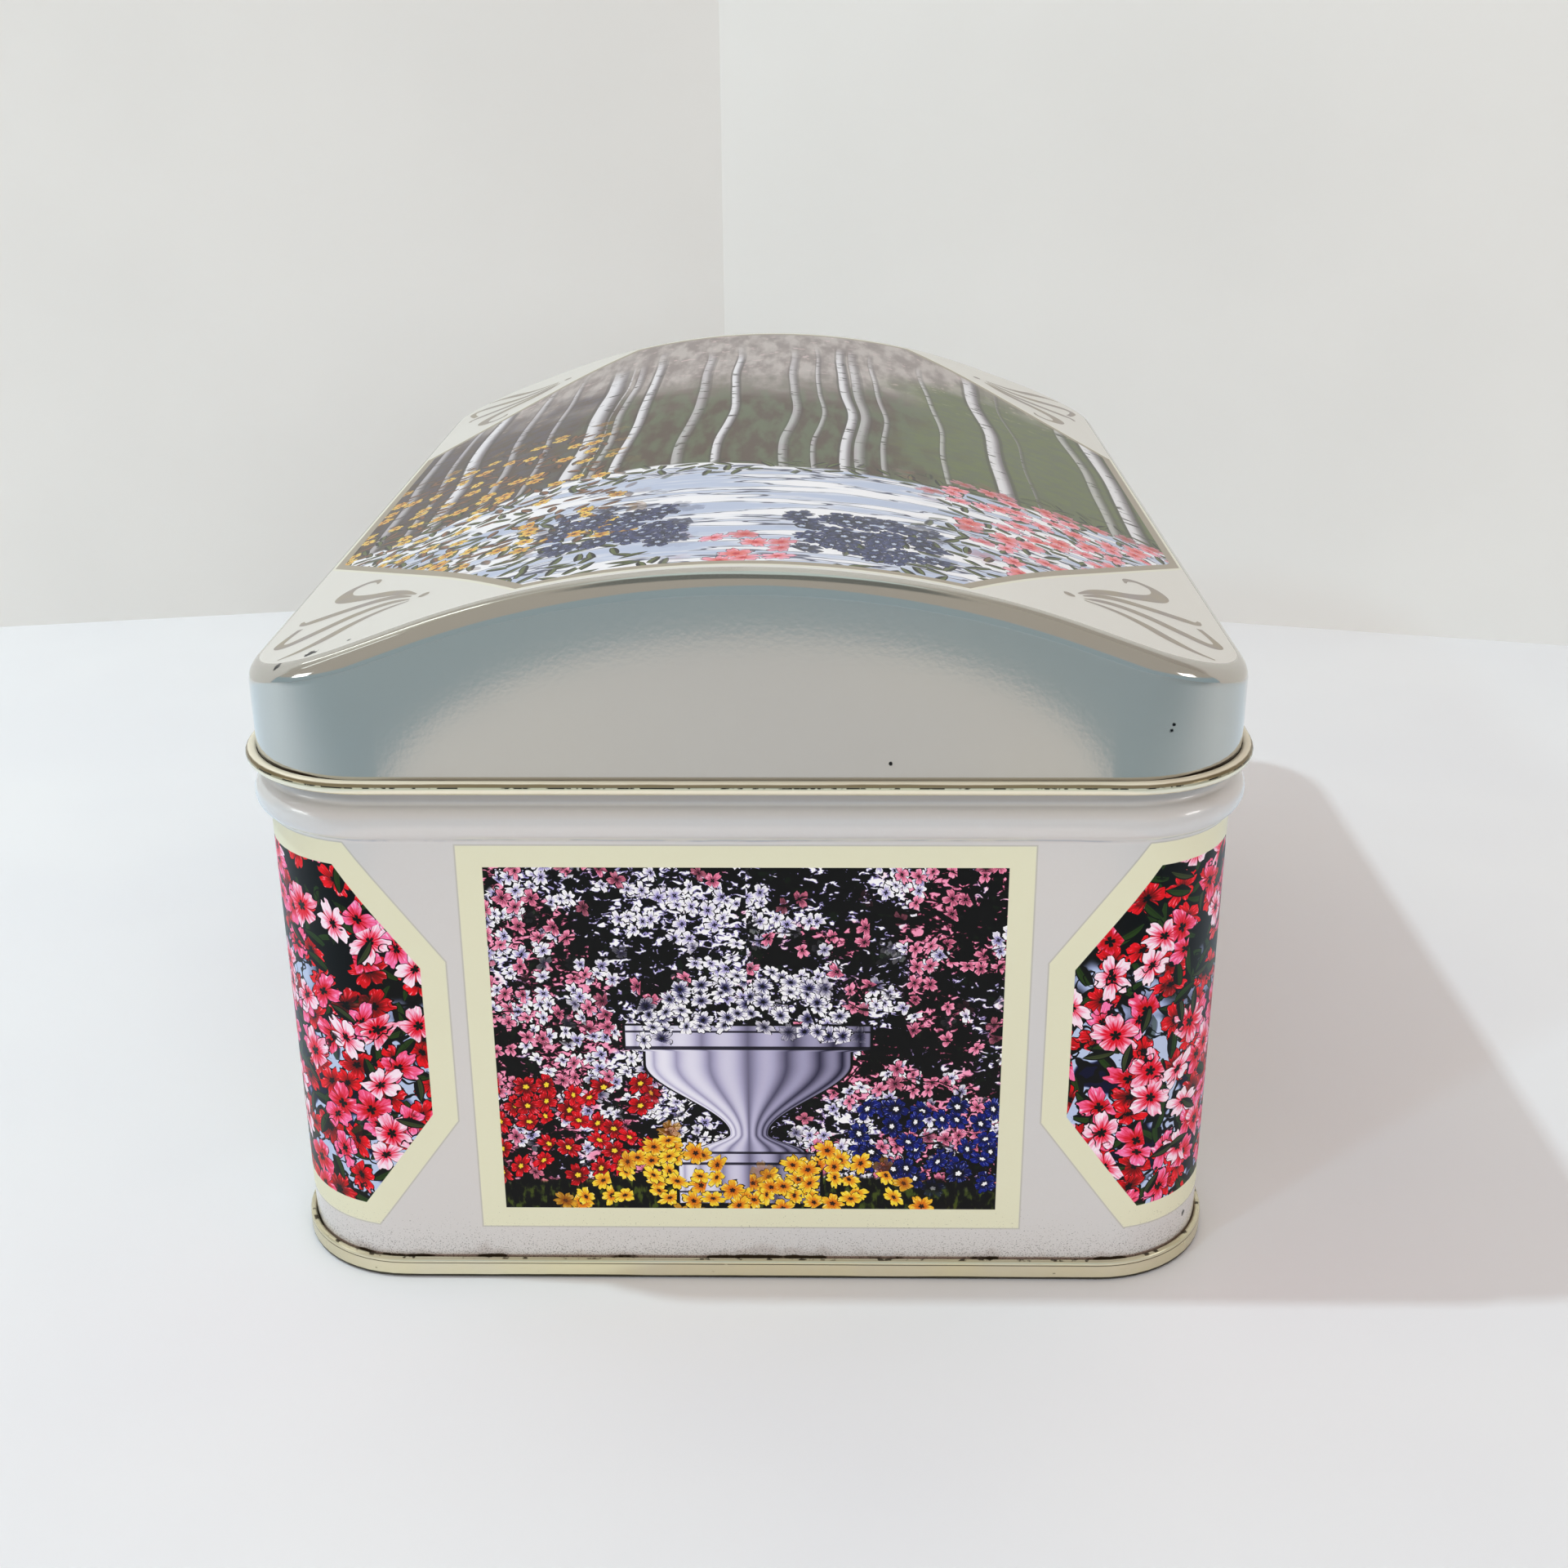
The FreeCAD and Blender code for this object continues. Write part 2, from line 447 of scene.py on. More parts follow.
SEED_STEPS: Point = (37.0, 11.0)  # how far a seed shifts a pattern, across and up
SCATTER = 0.9  # how freely patches are scattered, 0 for a square grid


@cache
def patch_group() -> NodeTree:
    """Group that finds the scattered patch round a point and the point's place in it.

    Returns:
        The group.
    """
    stamp = Stamp("patch", ("u", "v", "size", "seed"),
                  results=("across", "up", "pick", "other", "middle_u", "middle_v"))
    given = stamp.number
    shift_u, shift_v = (given["seed"] * step for step in SEED_STEPS)
    node = stamp.node("ShaderNodeTexVoronoi")
    node.voronoi_dimensions = "2D"
    node.inputs["Randomness"].default_value = SCATTER
    feed(stamp.tree, node.inputs["Scale"], 1 / given["size"])
    stamp.tree.links.new(stamp.vector(given["u"] + shift_u, given["v"] + shift_v), node.inputs["Vector"])
    chance = stamp.node("ShaderNodeSeparateColor")
    stamp.tree.links.new(node.outputs["Color"], chance.inputs[0])
    spot = stamp.node("ShaderNodeSeparateXYZ")
    stamp.tree.links.new(node.outputs["Position"], spot.inputs[0])
    middle_u = Ink(stamp.tree, spot.outputs[0]) - shift_u
    middle_v = Ink(stamp.tree, spot.outputs[1]) - shift_v
    return stamp.give(across=given["u"] - middle_u, up=given["v"] - middle_v, pick=chance.outputs[0],
                      other=chance.outputs[1], middle_u=middle_u, middle_v=middle_v)


class Print(Canvas):
    """The finish of one face of a sheet: its points in millimetres and the colour laid so far."""

    specular = 0.2
    coat_rough = 0.04
    chip_grain = 0.5

    def __init__(self, name: str) -> None:
        """Starts a material with its object coordinates at hand.

        Args:
            name: Name of the material.
        """
        self.material = bpy.data.materials.new(name)
        self.material.use_nodes = True
        super().__init__(self.material.node_tree)
        self.shader = self.tree.nodes["Principled BSDF"]
        place = self.node("ShaderNodeTexCoord").outputs["Object"]
        split = self.node("ShaderNodeSeparateXYZ")
        self.tree.links.new(place, split.inputs[0])
        self.x, self.y, self.z = (Ink(self.tree, socket) * (1 / MM) for socket in split.outputs)

    def chip(self, place: Sequence[float], size: float, edge: Point = (0.1, -0.05)) -> None:
        """Lays a small ragged spot where the enamel has come off.

        Args:
            place: Middle of the spot in millimetres; without a height it shows at every height.
            size: Its radius.
            edge: How far outside and inside its rim the spot fades.
        """
        away = distance(*(part - spot for part, spot in zip((self.x, self.y, self.z), place)))
        self.lay((away + self.noise(self.chip_grain, detail=2.0) * size - size).ramp(*edge), INKS.black)

    def ready(self, metal: Number, rough: Number, coat: Number = 0.0, relief: Ink | None = None,
              depth: float = 0.0) -> Material:
        """Links the finish to the shader.

        Args:
            metal: Metallic share.
            rough: Roughness.
            coat: Weight of the clear varnish.
            relief: Height field for bump, if any.
            depth: Depth of that relief in millimetres.

        Returns:
            The finished material.
        """
        feed(self.tree, self.shader.inputs["Base Color"], self.colour)
        feed(self.tree, self.shader.inputs["Metallic"], metal)
        feed(self.tree, self.shader.inputs["Roughness"], rough)
        self.shader.inputs["Specular IOR Level"].default_value = self.specular
        feed(self.tree, self.shader.inputs["Coat Weight"], coat)
        self.shader.inputs["Coat Roughness"].default_value = self.coat_rough
        if relief:
            bump = self.node("ShaderNodeBump")
            bump.inputs["Strength"].default_value = 1.0
            bump.inputs["Distance"].default_value = depth * MM
            feed(self.tree, bump.inputs["Height"], relief)
            self.tree.links.new(bump.outputs[0], self.shader.inputs["Normal"])
        return self.material


# Motifs of the prints

@dataclass(frozen=True)
class Petals:
    """How every printed flower is drawn.

    Pairs are where a tone starts and where it is full: in millimetres for edges, else as a share of a petal.
    """

    grain: float = 0.2
    ragged_least: float = 0.75
    ragged_gain: float = 0.5
    fullness: float = 0.7
    tip: Point = (0.92, 1.0)
    tip_notch: float = 0.13
    outline_edge: Point = (0.0, 0.06)
    edge: Point = (0.0, 0.08)
    vein_size: float = 0.4
    vein_spread: float = 1.3
    vein_seed: float = 9.0
    bloom: Point = (0.1, 0.85)
    bloom_gain: float = 0.9
    vein_gain: float = 1.3
    chance_gain: float = 0.5
    crease: Point = (0.08, 0.4)
    light_from: float = 0.58
    light: Point = (0.45, 0.8)
    light_gain: float = 3.0
    heart: Point = (0.26, 0.19)


@cache
def flower_group() -> NodeTree:
    """Group that lays one flower: ragged petals round a heart, squashed as if seen from the side.

    Returns:
        The group.
    """
    look = Petals()
    numbers = ("u", "v", "across", "up", "pick", "other", "there",
               "size", "cover", "petals", "notch", "outline", "tilt")
    stamp = Stamp("flower", numbers, ("under", "deep", "pale", "heart"))
    given, tint = stamp.number, stamp.tint
    stamp.colour = tint["under"]
    turn = given["pick"] * TAU
    squash = given["other"] * given["tilt"] + 1.0
    along = given["across"] * turn.cosine() + given["up"] * turn.sine()
    aside = (given["up"] * turn.cosine() - given["across"] * turn.sine()) * squash
    reach = distance(along, aside)
    spread = (aside.angle(along) + given["other"] * TAU) * given["petals"] * 0.5
    lobe = abs(spread.cosine())
    ragged = stamp.noise(given["size"] * look.grain, detail=1.0, flat=(given["u"], given["v"]),
                         seed=given["size"])
    edge = lobe.power(look.fullness) * given["notch"] + (1 - given["notch"])
    edge = edge * (ragged * look.ragged_gain + look.ragged_least)
    edge = (edge - lobe.ramp(*look.tip) * look.tip_notch) * given["size"] * given["cover"]
    stamp.lay((edge + given["outline"] - reach).ramp(*look.outline_edge) * given["there"], INKS.black)
    share = reach / edge
    vein = stamp.noise(look.vein_size, detail=1.0, flat=(spread * look.vein_spread, share),
                       seed=given["pick"] * look.vein_seed)
    bloom = share.ramp(*look.bloom) * look.bloom_gain + (vein - 0.5) * look.vein_gain
    bloom = bloom + (given["other"] - 0.5) * look.chance_gain
    petal = stamp.blend(tint["deep"], tint["pale"], bloom * lobe.ramp(*look.crease))
    light = (vein - look.light_from) * share.ramp(*look.light) * look.light_gain
    petal = stamp.blend(petal, INKS.white, light)
    stamp.lay((edge - reach).ramp(*look.edge) * given["there"], petal)
    stamp.lay(share.ramp(*look.heart) * given["there"], tint["heart"])
    return stamp.give(colour=stamp.colour)


@dataclass(frozen=True)
class Blades:
    """How every printed leaf is drawn; edges are in millimetres, tones as shares of its half-width."""

    outline: float = 0.12
    outline_edge: Point = (0.0, 0.05)
    edge: Point = (0.0, 0.08)
    shade: Point = (-0.6, 0.5)
    midrib: Point = (0.16, 0.05)


@cache
def leaf_group() -> NodeTree:
    """Group that lays one leaf, shaded across and lit along its midrib.

    Returns:
        The group.
    """
    look = Blades()
    stamp = Stamp("leaf", ("across", "up", "pick", "there", "length", "width"), ("under", "deep", "pale"))
    given, tint = stamp.number, stamp.tint
    stamp.colour = tint["under"]
    turn = given["pick"] * TAU
    along = given["across"] * turn.cosine() + given["up"] * turn.sine()
    aside = given["up"] * turn.cosine() - given["across"] * turn.sine()
    half = (1 - (along / given["length"]).power(2.0)) * given["width"]
    stamp.lay((half + look.outline - abs(aside)).ramp(*look.outline_edge) * given["there"], INKS.black)
    side = aside / given["width"]
    blade = stamp.blend(tint["deep"], tint["pale"], side.ramp(*look.shade))
    blade = stamp.blend(blade, tint["pale"], abs(side).ramp(*look.midrib))
    stamp.lay((half - abs(aside)).ramp(*look.edge) * given["there"], blade)
    return stamp.give(colour=stamp.colour)


@dataclass(frozen=True)
class Flower:
    """A kind of printed flower, scattered one to a patch and turned by chance."""

    size: float
    cover: float
    deep: Colour
    pale: Colour
    heart: Colour
    share: float = 1.0
    notch: float = 0.55
    outline: float = 0.12
    petals: float = 5.0
    tilt: float = 0.7

    def scatter(self, sheet: Canvas, u: Ink, v: Ink, seed: float, where: Region) -> None:
        """Lays the flowers.

        Args:
            sheet: The print to lay them on.
            u: Coordinate across, in millimetres.
            v: Coordinate up, in millimetres.
            seed: Shift that gives another pattern.
            where: Tells from a flower's middle whether it is there.
        """
        cell = sheet.cells(u, v, self.size, seed)
        there = where(*cell.middle) * cell.pick.over(1 - self.share)
        made = sheet.stamp(
            flower_group(), u=u, v=v, across=cell.across, up=cell.up, pick=cell.pick, other=cell.other,
            there=there, size=self.size, cover=self.cover, petals=self.petals, notch=self.notch,
            outline=self.outline, tilt=self.tilt, under=sheet.colour, deep=self.deep, pale=self.pale,
            heart=self.heart)
        sheet.colour = made["colour"]


@dataclass(frozen=True)
class Leaf:
    """A kind of printed leaf, scattered one to a patch and turned by chance."""

    size: float
    length: float
    width: float
    deep: Colour
    pale: Colour
    share: float = 1.0

    def scatter(self, sheet: Canvas, u: Ink, v: Ink, seed: float, where: Region) -> None:
        """Lays the leaves.

        Args:
            sheet: The print to lay them on.
            u: Coordinate across, in millimetres.
            v: Coordinate up, in millimetres.
            seed: Shift that gives another pattern.
            where: Tells from a leaf's middle whether it is there.
        """
        cell = sheet.cells(u, v, self.size, seed)
        there = where(*cell.middle) * cell.other.over(1 - self.share)
        made = sheet.stamp(
            leaf_group(), across=cell.across, up=cell.up, pick=cell.pick, there=there, length=self.length,
            width=self.width, under=sheet.colour, deep=self.deep, pale=self.pale)
        sheet.colour = made["colour"]


@dataclass(frozen=True)
class Bed:
    """A bed of flowers: the slant of its side, and where its side, top and foot start and are full."""

    side: Point
    top: Point
    foot: Point | None = None
    slant: float = 0.0

    def holds(self, u: Ink, v: Ink) -> Ink:
        """Whether a flower's middle is in the bed.

        Args:
            u: Coordinate across, in millimetres.
            v: Coordinate up, in millimetres.

        Returns:
            One inside, zero outside.
        """
        across = u + v * self.slant if self.slant else u
        inside = across.ramp(*self.side) * v.ramp(*self.top)
        return inside * v.ramp(*self.foot) if self.foot else inside


@dataclass(frozen=True)
class Urn:
    """A fluted garden urn; its outline is a sum of eased steps in half-width."""

    foot: float = 10.0
    top: float = 33.6
    steps: tuple[Triple, ...] = (
        (9.8, 10.0, 8.2), (15.4, 15.6, 1.2), (16.8, 17.0, -3.0), (17.0, 19.4, -4.2), (19.6, 28.6, 9.4),
        (30.2, 30.6, 2.2))
    thinnest: float = 0.5
    soft: float = 0.12
    foot_soft: float = 0.1
    line: float = 0.3
    line_soft: float = 0.1
    foot_line: float = 0.2
    flutes: float = 2.6
    side_light: float = 0.65
    flute_light: float = 0.4
    dark: Colour = ink_colour(70, 66, 92)
    pale: Colour = ink_colour(222, 220, 236)
    groove: Colour = ink_colour(46, 42, 60)
    grooves: tuple[Point, ...] = ((30.4, 0.45), (32.6, 0.25), (15.2, 0.35), (16.7, 0.3), (11.4, 0.25))
    groove_strength: float = 0.85

    def draw(self, sheet: Print, u: Ink, v: Ink) -> None:
        """Lays the urn upright on a middle line.

        Args:
            sheet: The print to lay it on.
            u: Distance from the middle line, in millimetres.
            v: Height, in millimetres.
        """
        steps = [v.ramp(low, high) * change for low, high, change in self.steps]
        half = sum(steps[1:], steps[0])
        share = (u / half.most(self.thinnest)).least(1.0).most(-1.0)
        inside = (half - abs(u)).ramp(0.0, self.soft) * v.ramp(self.top, self.top - self.soft)
        inside = inside * v.ramp(self.foot, self.foot + self.foot_soft)
        around = (half + self.line - abs(u)).ramp(0.0, self.line_soft)
        around = around * v.ramp(self.top + self.line, self.top + self.line_soft)
        sheet.lay(around * v.ramp(self.foot - self.foot_line, self.foot), INKS.black)
        flute = abs((share.math("ARCSINE", share) * (self.flutes * math.pi)).sine())
        light = (share * -0.5 + 0.5) * self.side_light + flute * self.flute_light
        sheet.lay(inside, sheet.blend(self.dark, self.pale, light))
        for low, thick in self.grooves:
            band = v.ramp(low, low + self.soft) * v.ramp(low + thick + self.soft, low + thick)
            sheet.lay(band * inside * self.groove_strength, self.groove)


@dataclass(frozen=True)
class BlossomBank:
    """A bank of blossom in dabs of white and pink between dark twigs; it blushes away from the urn."""

    mass_size: float = 6.0
    mass_gain: float = 0.5
    thick: Point = (0.48, 0.52)
    dab_size: float = 0.8
    dab_stretch: Point = (0.8, 1.2)
    dab_swirl: float = 0.7
    shade_edge: Point = (0.545, 0.575)
    shade_blush: Point = (0.56, 0.68)
    light_edge: Point = (0.59, 0.615)
    light_blush: Point = (0.56, 0.66)
    blush_away: Point = (6.0, 26.0)
    blush_gain: float = 0.26
    blush_level: float = 34.0
    blush_slope: float = 0.3
    leaf_size: float = 1.6
    leaf_edge: Point = (0.58, 0.68)
    pale: Flower = Flower(
        size=1.8, cover=0.72, deep=INKS.lavender, pale=INKS.white, heart=INKS.black, share=0.42, notch=0.85,
        outline=0.2, petals=4.0)
    pink: Flower = Flower(
        size=1.8, cover=0.72, deep=INKS.mauve, pale=INKS.rose, heart=INKS.black, share=0.42, notch=0.85,
        outline=0.2, petals=4.0)
    pink_gain: float = 0.2
    pink_where: Point = (0.56, 0.6)
    twig_size: float = 7.0
    twig_stretch: Point = (0.8, 1.8)
    twig_line: Point = (0.014, 0.008)
    twig_where: Point = (0.62, 0.5)

    def draw(self, sheet: Print, u: Ink, home: Ink, v: Ink) -> None:
        """Lays the bank.

        Args:
            sheet: The print to lay it on.
            u: Coordinate across.
            home: Distance from the urn's middle line.
            v: Height above the table.
        """
        mass = sheet.noise(self.mass_size, detail=2.0, flat=(u, v), seed=2.0)
        dab = sheet.noise(self.dab_size, detail=3.0, stretch=self.dab_stretch, flat=(u, v), seed=1.0,
                          swirl=self.dab_swirl)
        dab = dab + (mass - 0.5) * self.mass_gain
        away = (abs(home) - (v - self.blush_level) * self.blush_slope).ramp(*self.blush_away)
        blush = sheet.noise(self.mass_size, detail=1.0, flat=(u, v), seed=7.0) + away * self.blush_gain
        leaf = sheet.noise(self.leaf_size, detail=2.0, flat=(u, v), seed=3.0)
        sheet.colour = sheet.blend(INKS.black, INKS.leaf, leaf.ramp(*self.leaf_edge))
        shade = sheet.blend(INKS.lavender, INKS.mauve, blush.ramp(*self.shade_blush))
        sheet.lay(dab.ramp(*self.shade_edge), shade)
        light = sheet.blend(INKS.white, INKS.rose, blush.ramp(*self.light_blush))
        sheet.lay(dab.ramp(*self.light_edge), light)

        def cluster(cu: Ink, cv: Ink) -> Ink:
            """Where the blossom is thick."""
            return sheet.noise(self.mass_size, detail=2.0, flat=(cu, cv), seed=2.0).ramp(*self.thick)

        def blushing(cu: Ink, cv: Ink) -> Ink:
            """Where it is pink."""
            pink = sheet.noise(self.mass_size, detail=1.0, flat=(cu, cv), seed=7.0)
            return (pink + abs(cu - u + home).ramp(*self.blush_away) * self.pink_gain).ramp(*self.pink_where)

        self.pale.scatter(sheet, u, v, seed=4.0, where=cluster)
        self.pale.scatter(sheet, u, v, seed=5.0, where=cluster)
        self.pink.scatter(sheet, u, v, seed=6.0, where=blushing)
        twig = sheet.noise(self.twig_size, detail=2.0, stretch=self.twig_stretch, flat=(u, v), seed=5.0)
        sheet.lay(abs(twig - 0.5).ramp(*self.twig_line) * mass.ramp(*self.twig_where), INKS.black)


@dataclass(frozen=True)
class Garden:
    """The picture of the flat panels: an urn of blossom and flower beds before a bank of blossom."""

    bank: BlossomBank = BlossomBank()
    urn: Urn = Urn()
    soil_size: float = 0.8
    soil_stretch: Point = (1.0, 0.45)
    ground_top: Point = (15.6, 14.8)
    ground_slope: float = 0.05
    ground_rough: float = 1.6
    tufts: Point = (0.48, 0.66)
    left_bed: Bed = Bed(side=(-10.5, -11.5), top=(27.0, 26.0), foot=(13.0, 13.5))
    right_bed: Bed = Bed(side=(11.5, 12.5), top=(24.0, 23.0), foot=(12.0, 12.5))
    red: Flower = Flower(size=2.9, cover=0.6, deep=ink_colour(120, 4, 30), pale=ink_colour(216, 36, 72),
                         heart=INKS.yellow, share=0.6, outline=0.2)
    blue: Flower = Flower(size=2.8, cover=0.6, deep=ink_colour(8, 14, 52), pale=ink_colour(52, 78, 158),
                          heart=INKS.white, share=0.7, outline=0.2)
    crown: Flower = Flower(
        size=2.1, cover=0.66, deep=ink_colour(96, 94, 130), pale=INKS.white, heart=INKS.black, share=0.75,
        notch=0.65, outline=0.14)
    gold: Flower = Flower(size=2.6, cover=0.64, deep=INKS.amber, pale=INKS.yellow, heart=INKS.bark, share=0.7)
    heap_side: Point = (13.0, 11.5)
    heap_foot: Point = (33.4, 34.0)
    heap_sag: float = 0.2
    heap_top: Point = (42.0, 40.5)
    heap_round: float = 0.04
    mound_from_middle: float = 9.0
    mound_slope: float = 0.75
    mound_top: Point = (20.5, 19.0)
    mound_foot: Point = (8.5, 9.0)

    def draw(self, sheet: Print, u: Ink, home: Ink, v: Ink) -> None:
        """Lays the picture.

        Args:
            sheet: The print to lay it on.
            u: Coordinate across, shifted so that no two panels are alike.
            home: Distance from the urn's middle line.
            v: Height above the table.
        """
        shift = u - home
        self.bank.draw(sheet, u, home, v)

        def bed(place: Bed) -> Region:
            """Where a bed lies on the sheet."""
            return lambda cu, cv: place.holds(cu - shift, cv)

        def heap(cu: Ink, cv: Ink) -> Ink:
            """The heap of blossom in the urn."""
            away = cu - shift
            inside = abs(away).ramp(*self.heap_side) * (cv + abs(away) * self.heap_sag).ramp(*self.heap_foot)
            return inside * (cv + away.power(2.0) * self.heap_round).ramp(*self.heap_top)

        def mounds(cu: Ink, cv: Ink) -> Ink:
            """Mounds beside the plinth and a row before it."""
            away = abs(abs(cu - shift) - self.mound_from_middle)
            return (cv + away * self.mound_slope).ramp(*self.mound_top) * cv.ramp(*self.mound_foot)

        soil = sheet.noise(self.soil_size, detail=3.0, stretch=self.soil_stretch, flat=(u, v))
        ground = (v + abs(home) * self.ground_slope + soil * self.ground_rough).ramp(*self.ground_top)
        sheet.lay(ground, sheet.blend(INKS.black, INKS.grass, soil.ramp(*self.tufts)))
        for seed in (8.0, 13.0):
            self.red.scatter(sheet, u, v, seed=seed, where=bed(self.left_bed))
        for seed in (9.0, 14.0):
            self.blue.scatter(sheet, u, v, seed=seed, where=bed(self.right_bed))
        self.urn.draw(sheet, home, v)
        for seed in (7.0, 12.0):
            self.crown.scatter(sheet, u, v, seed=seed, where=heap)
        for seed in (10.0, 11.0):
            self.gold.scatter(sheet, u, v, seed=seed, where=mounds)


@dataclass(frozen=True)
class WildRoses:
    """The picture of the corner panels: wild roses and leaves all over."""

    gap_size: float = 7.0
    gap_edge: Point = (0.52, 0.56)
    dark_from: Point = (48.0, 54.0)
    dark_wander: float = 30.0
    twig_size: float = 4.0
    twig_line: Point = (0.03, 0.015)
    thicket_size: float = 6.0
    thicket: Point = (0.48, 0.52)
    spray_size: float = 3.0
    spray_line: Point = (0.016, 0.008)
    spray_where: Point = (0.5, 0.42)
    below_all: float = -99.0
    leaf: Leaf = Leaf(
        size=3.0, length=2.0, width=0.65, deep=INKS.leaf_dark, pale=ink_colour(84, 108, 58), share=0.75)
    small_leaf: Leaf = Leaf(size=4.4, length=1.8, width=0.5, deep=INKS.leaf_dark, pale=INKS.moss, share=0.3)
    wine: Flower = Flower(size=4.2, cover=0.64, deep=ink_colour(140, 2, 34), pale=ink_colour(222, 34, 74),
                          heart=INKS.black, share=0.7, outline=0.2)
    red: Flower = Flower(size=4.4, cover=0.68, deep=ink_colour(196, 14, 58), pale=ink_colour(244, 150, 182),
                         heart=INKS.black, share=0.5, notch=0.7, outline=0.2, petals=4.0)
    pale: Flower = Flower(size=4.8, cover=0.66, deep=ink_colour(214, 40, 86), pale=ink_colour(255, 216, 230),
                          heart=INKS.leaf_dark, share=0.4, notch=0.65, outline=0.2)

    def draw(self, sheet: Print, u: Ink, v: Ink) -> None:
        """Lays the picture.

        Args:
            sheet: The print to lay it on.
            u: Coordinate round the corner, shifted so that no two corners are alike.
            v: Height above the table.
        """
        def everywhere(cu: Ink, cv: Ink) -> Ink:
            """No limit."""
            return cv.over(self.below_all)

        def thickets(cu: Ink, cv: Ink) -> Ink:
            """Where leaves lie over the roses."""
            return sheet.noise(self.thicket_size, detail=1.0, flat=(cu, cv)).ramp(*self.thicket)

        gap = sheet.noise(self.gap_size, detail=2.0, flat=(u, v))
        sheet.colour = sheet.blend(INKS.sky, INKS.navy, gap.ramp(*self.gap_edge))
        sheet.lay((v + gap * self.dark_wander).ramp(*self.dark_from), INKS.black)
        twig = sheet.noise(self.twig_size, detail=2.0, flat=(u, v), seed=4.0)
        sheet.lay(abs(twig - 0.5).ramp(*self.twig_line), INKS.black)
        self.leaf.scatter(sheet, u, v, seed=21.0, where=everywhere)
        self.wine.scatter(sheet, u, v, seed=22.0, where=everywhere)
        self.leaf.scatter(sheet, u, v, seed=23.0, where=thickets)
        self.red.scatter(sheet, u, v, seed=24.0, where=everywhere)
        self.pale.scatter(sheet, u, v, seed=25.0, where=everywhere)
        spray = sheet.noise(self.spray_size, detail=2.0, flat=(u, v), seed=8.0)
        sheet.lay(abs(spray - 0.5).ramp(*self.spray_line) * gap.ramp(*self.spray_where), INKS.black)
        self.small_leaf.scatter(sheet, u, v, seed=26.0, where=everywhere)


@dataclass(frozen=True)
class Wash:
    """A broad wash of two inks: how they mix, how high it reaches, on which side, and how strong it is."""

    first: Colour
    second: Colour
    mix: Point
    high: Point
    side: Point | None = None
    strength: float = 1.0

    def draw(self, sheet: Print, brush: Ink, side: Ink, high: Ink) -> None:
        """Lays the wash.

        Args:
            sheet: The print to lay it on.
            brush: Noise that mixes the inks.
            side: Wandering coordinate across.
            high: Wandering coordinate up.
        """
        where = high.ramp(*self.high)
        if self.side:
            where = side.ramp(*self.side) * where
        if self.strength < 1.0:
            where = where * self.strength
        sheet.lay(where, sheet.blend(self.first, self.second, brush.ramp(*self.mix)))


@dataclass(frozen=True)
class Trunks:
    """A row of pale trunks with dark marks."""

    pitch: float
    half: float
    seed: float
    high: Point
    strength: float
    lean_size: float = 46.0
    lean: float = 5.0
    seed_step: float = 3.0
    row: float = 0.5
    slimmest: float = 0.5
    stoutness: float = 0.7
    mark_size: float = 1.5
    mark_stretch: Point = (0.5, 1.4)
    mark_edge: Point = (0.6, 0.66)
    turn: Point = (-0.4, 0.9)
    halo: Point = (1.5, 1.2)
    halo_strength: float = 0.7
    edge: Point = (1.0, 0.84)
    shade: Colour = ink_colour(130, 122, 128)
    dark: Colour = ink_colour(66, 58, 54)
    mark: Colour = ink_colour(64, 58, 60)

    def draw(self, sheet: Print, u: Ink, v: Ink, high: Ink) -> None:
        """Lays the trunks.

        Args:
            sheet: The print to lay them on.
            u: Coordinate along the row.
            v: Coordinate up the trunks.
            high: Wandering coordinate up, which fades their heads.
        """
        there = high.ramp(*self.high) * self.strength
        lean = sheet.noise(self.lean_size, detail=1.0, flat=(u, v), seed=self.seed)
        stand = u + (lean - 0.5) * self.lean + self.seed * self.seed_step
        cell = sheet.cells(stand, v * 0.0 + self.row, self.pitch, self.seed)
        aside = cell.across / (cell.pick * self.half * self.stoutness + self.half * self.slimmest)
        mark = sheet.noise(self.mark_size, detail=3.0, stretch=self.mark_stretch, flat=(u, v), seed=self.seed)
        rind = sheet.blend(INKS.white, self.shade, aside.ramp(*self.turn))
        sheet.lay(abs(aside).ramp(*self.halo) * there * self.halo_strength, self.dark)
        rind = sheet.blend(rind, self.mark, mark.ramp(*self.mark_edge))
        sheet.lay(abs(aside).ramp(*self.edge) * there, rind)


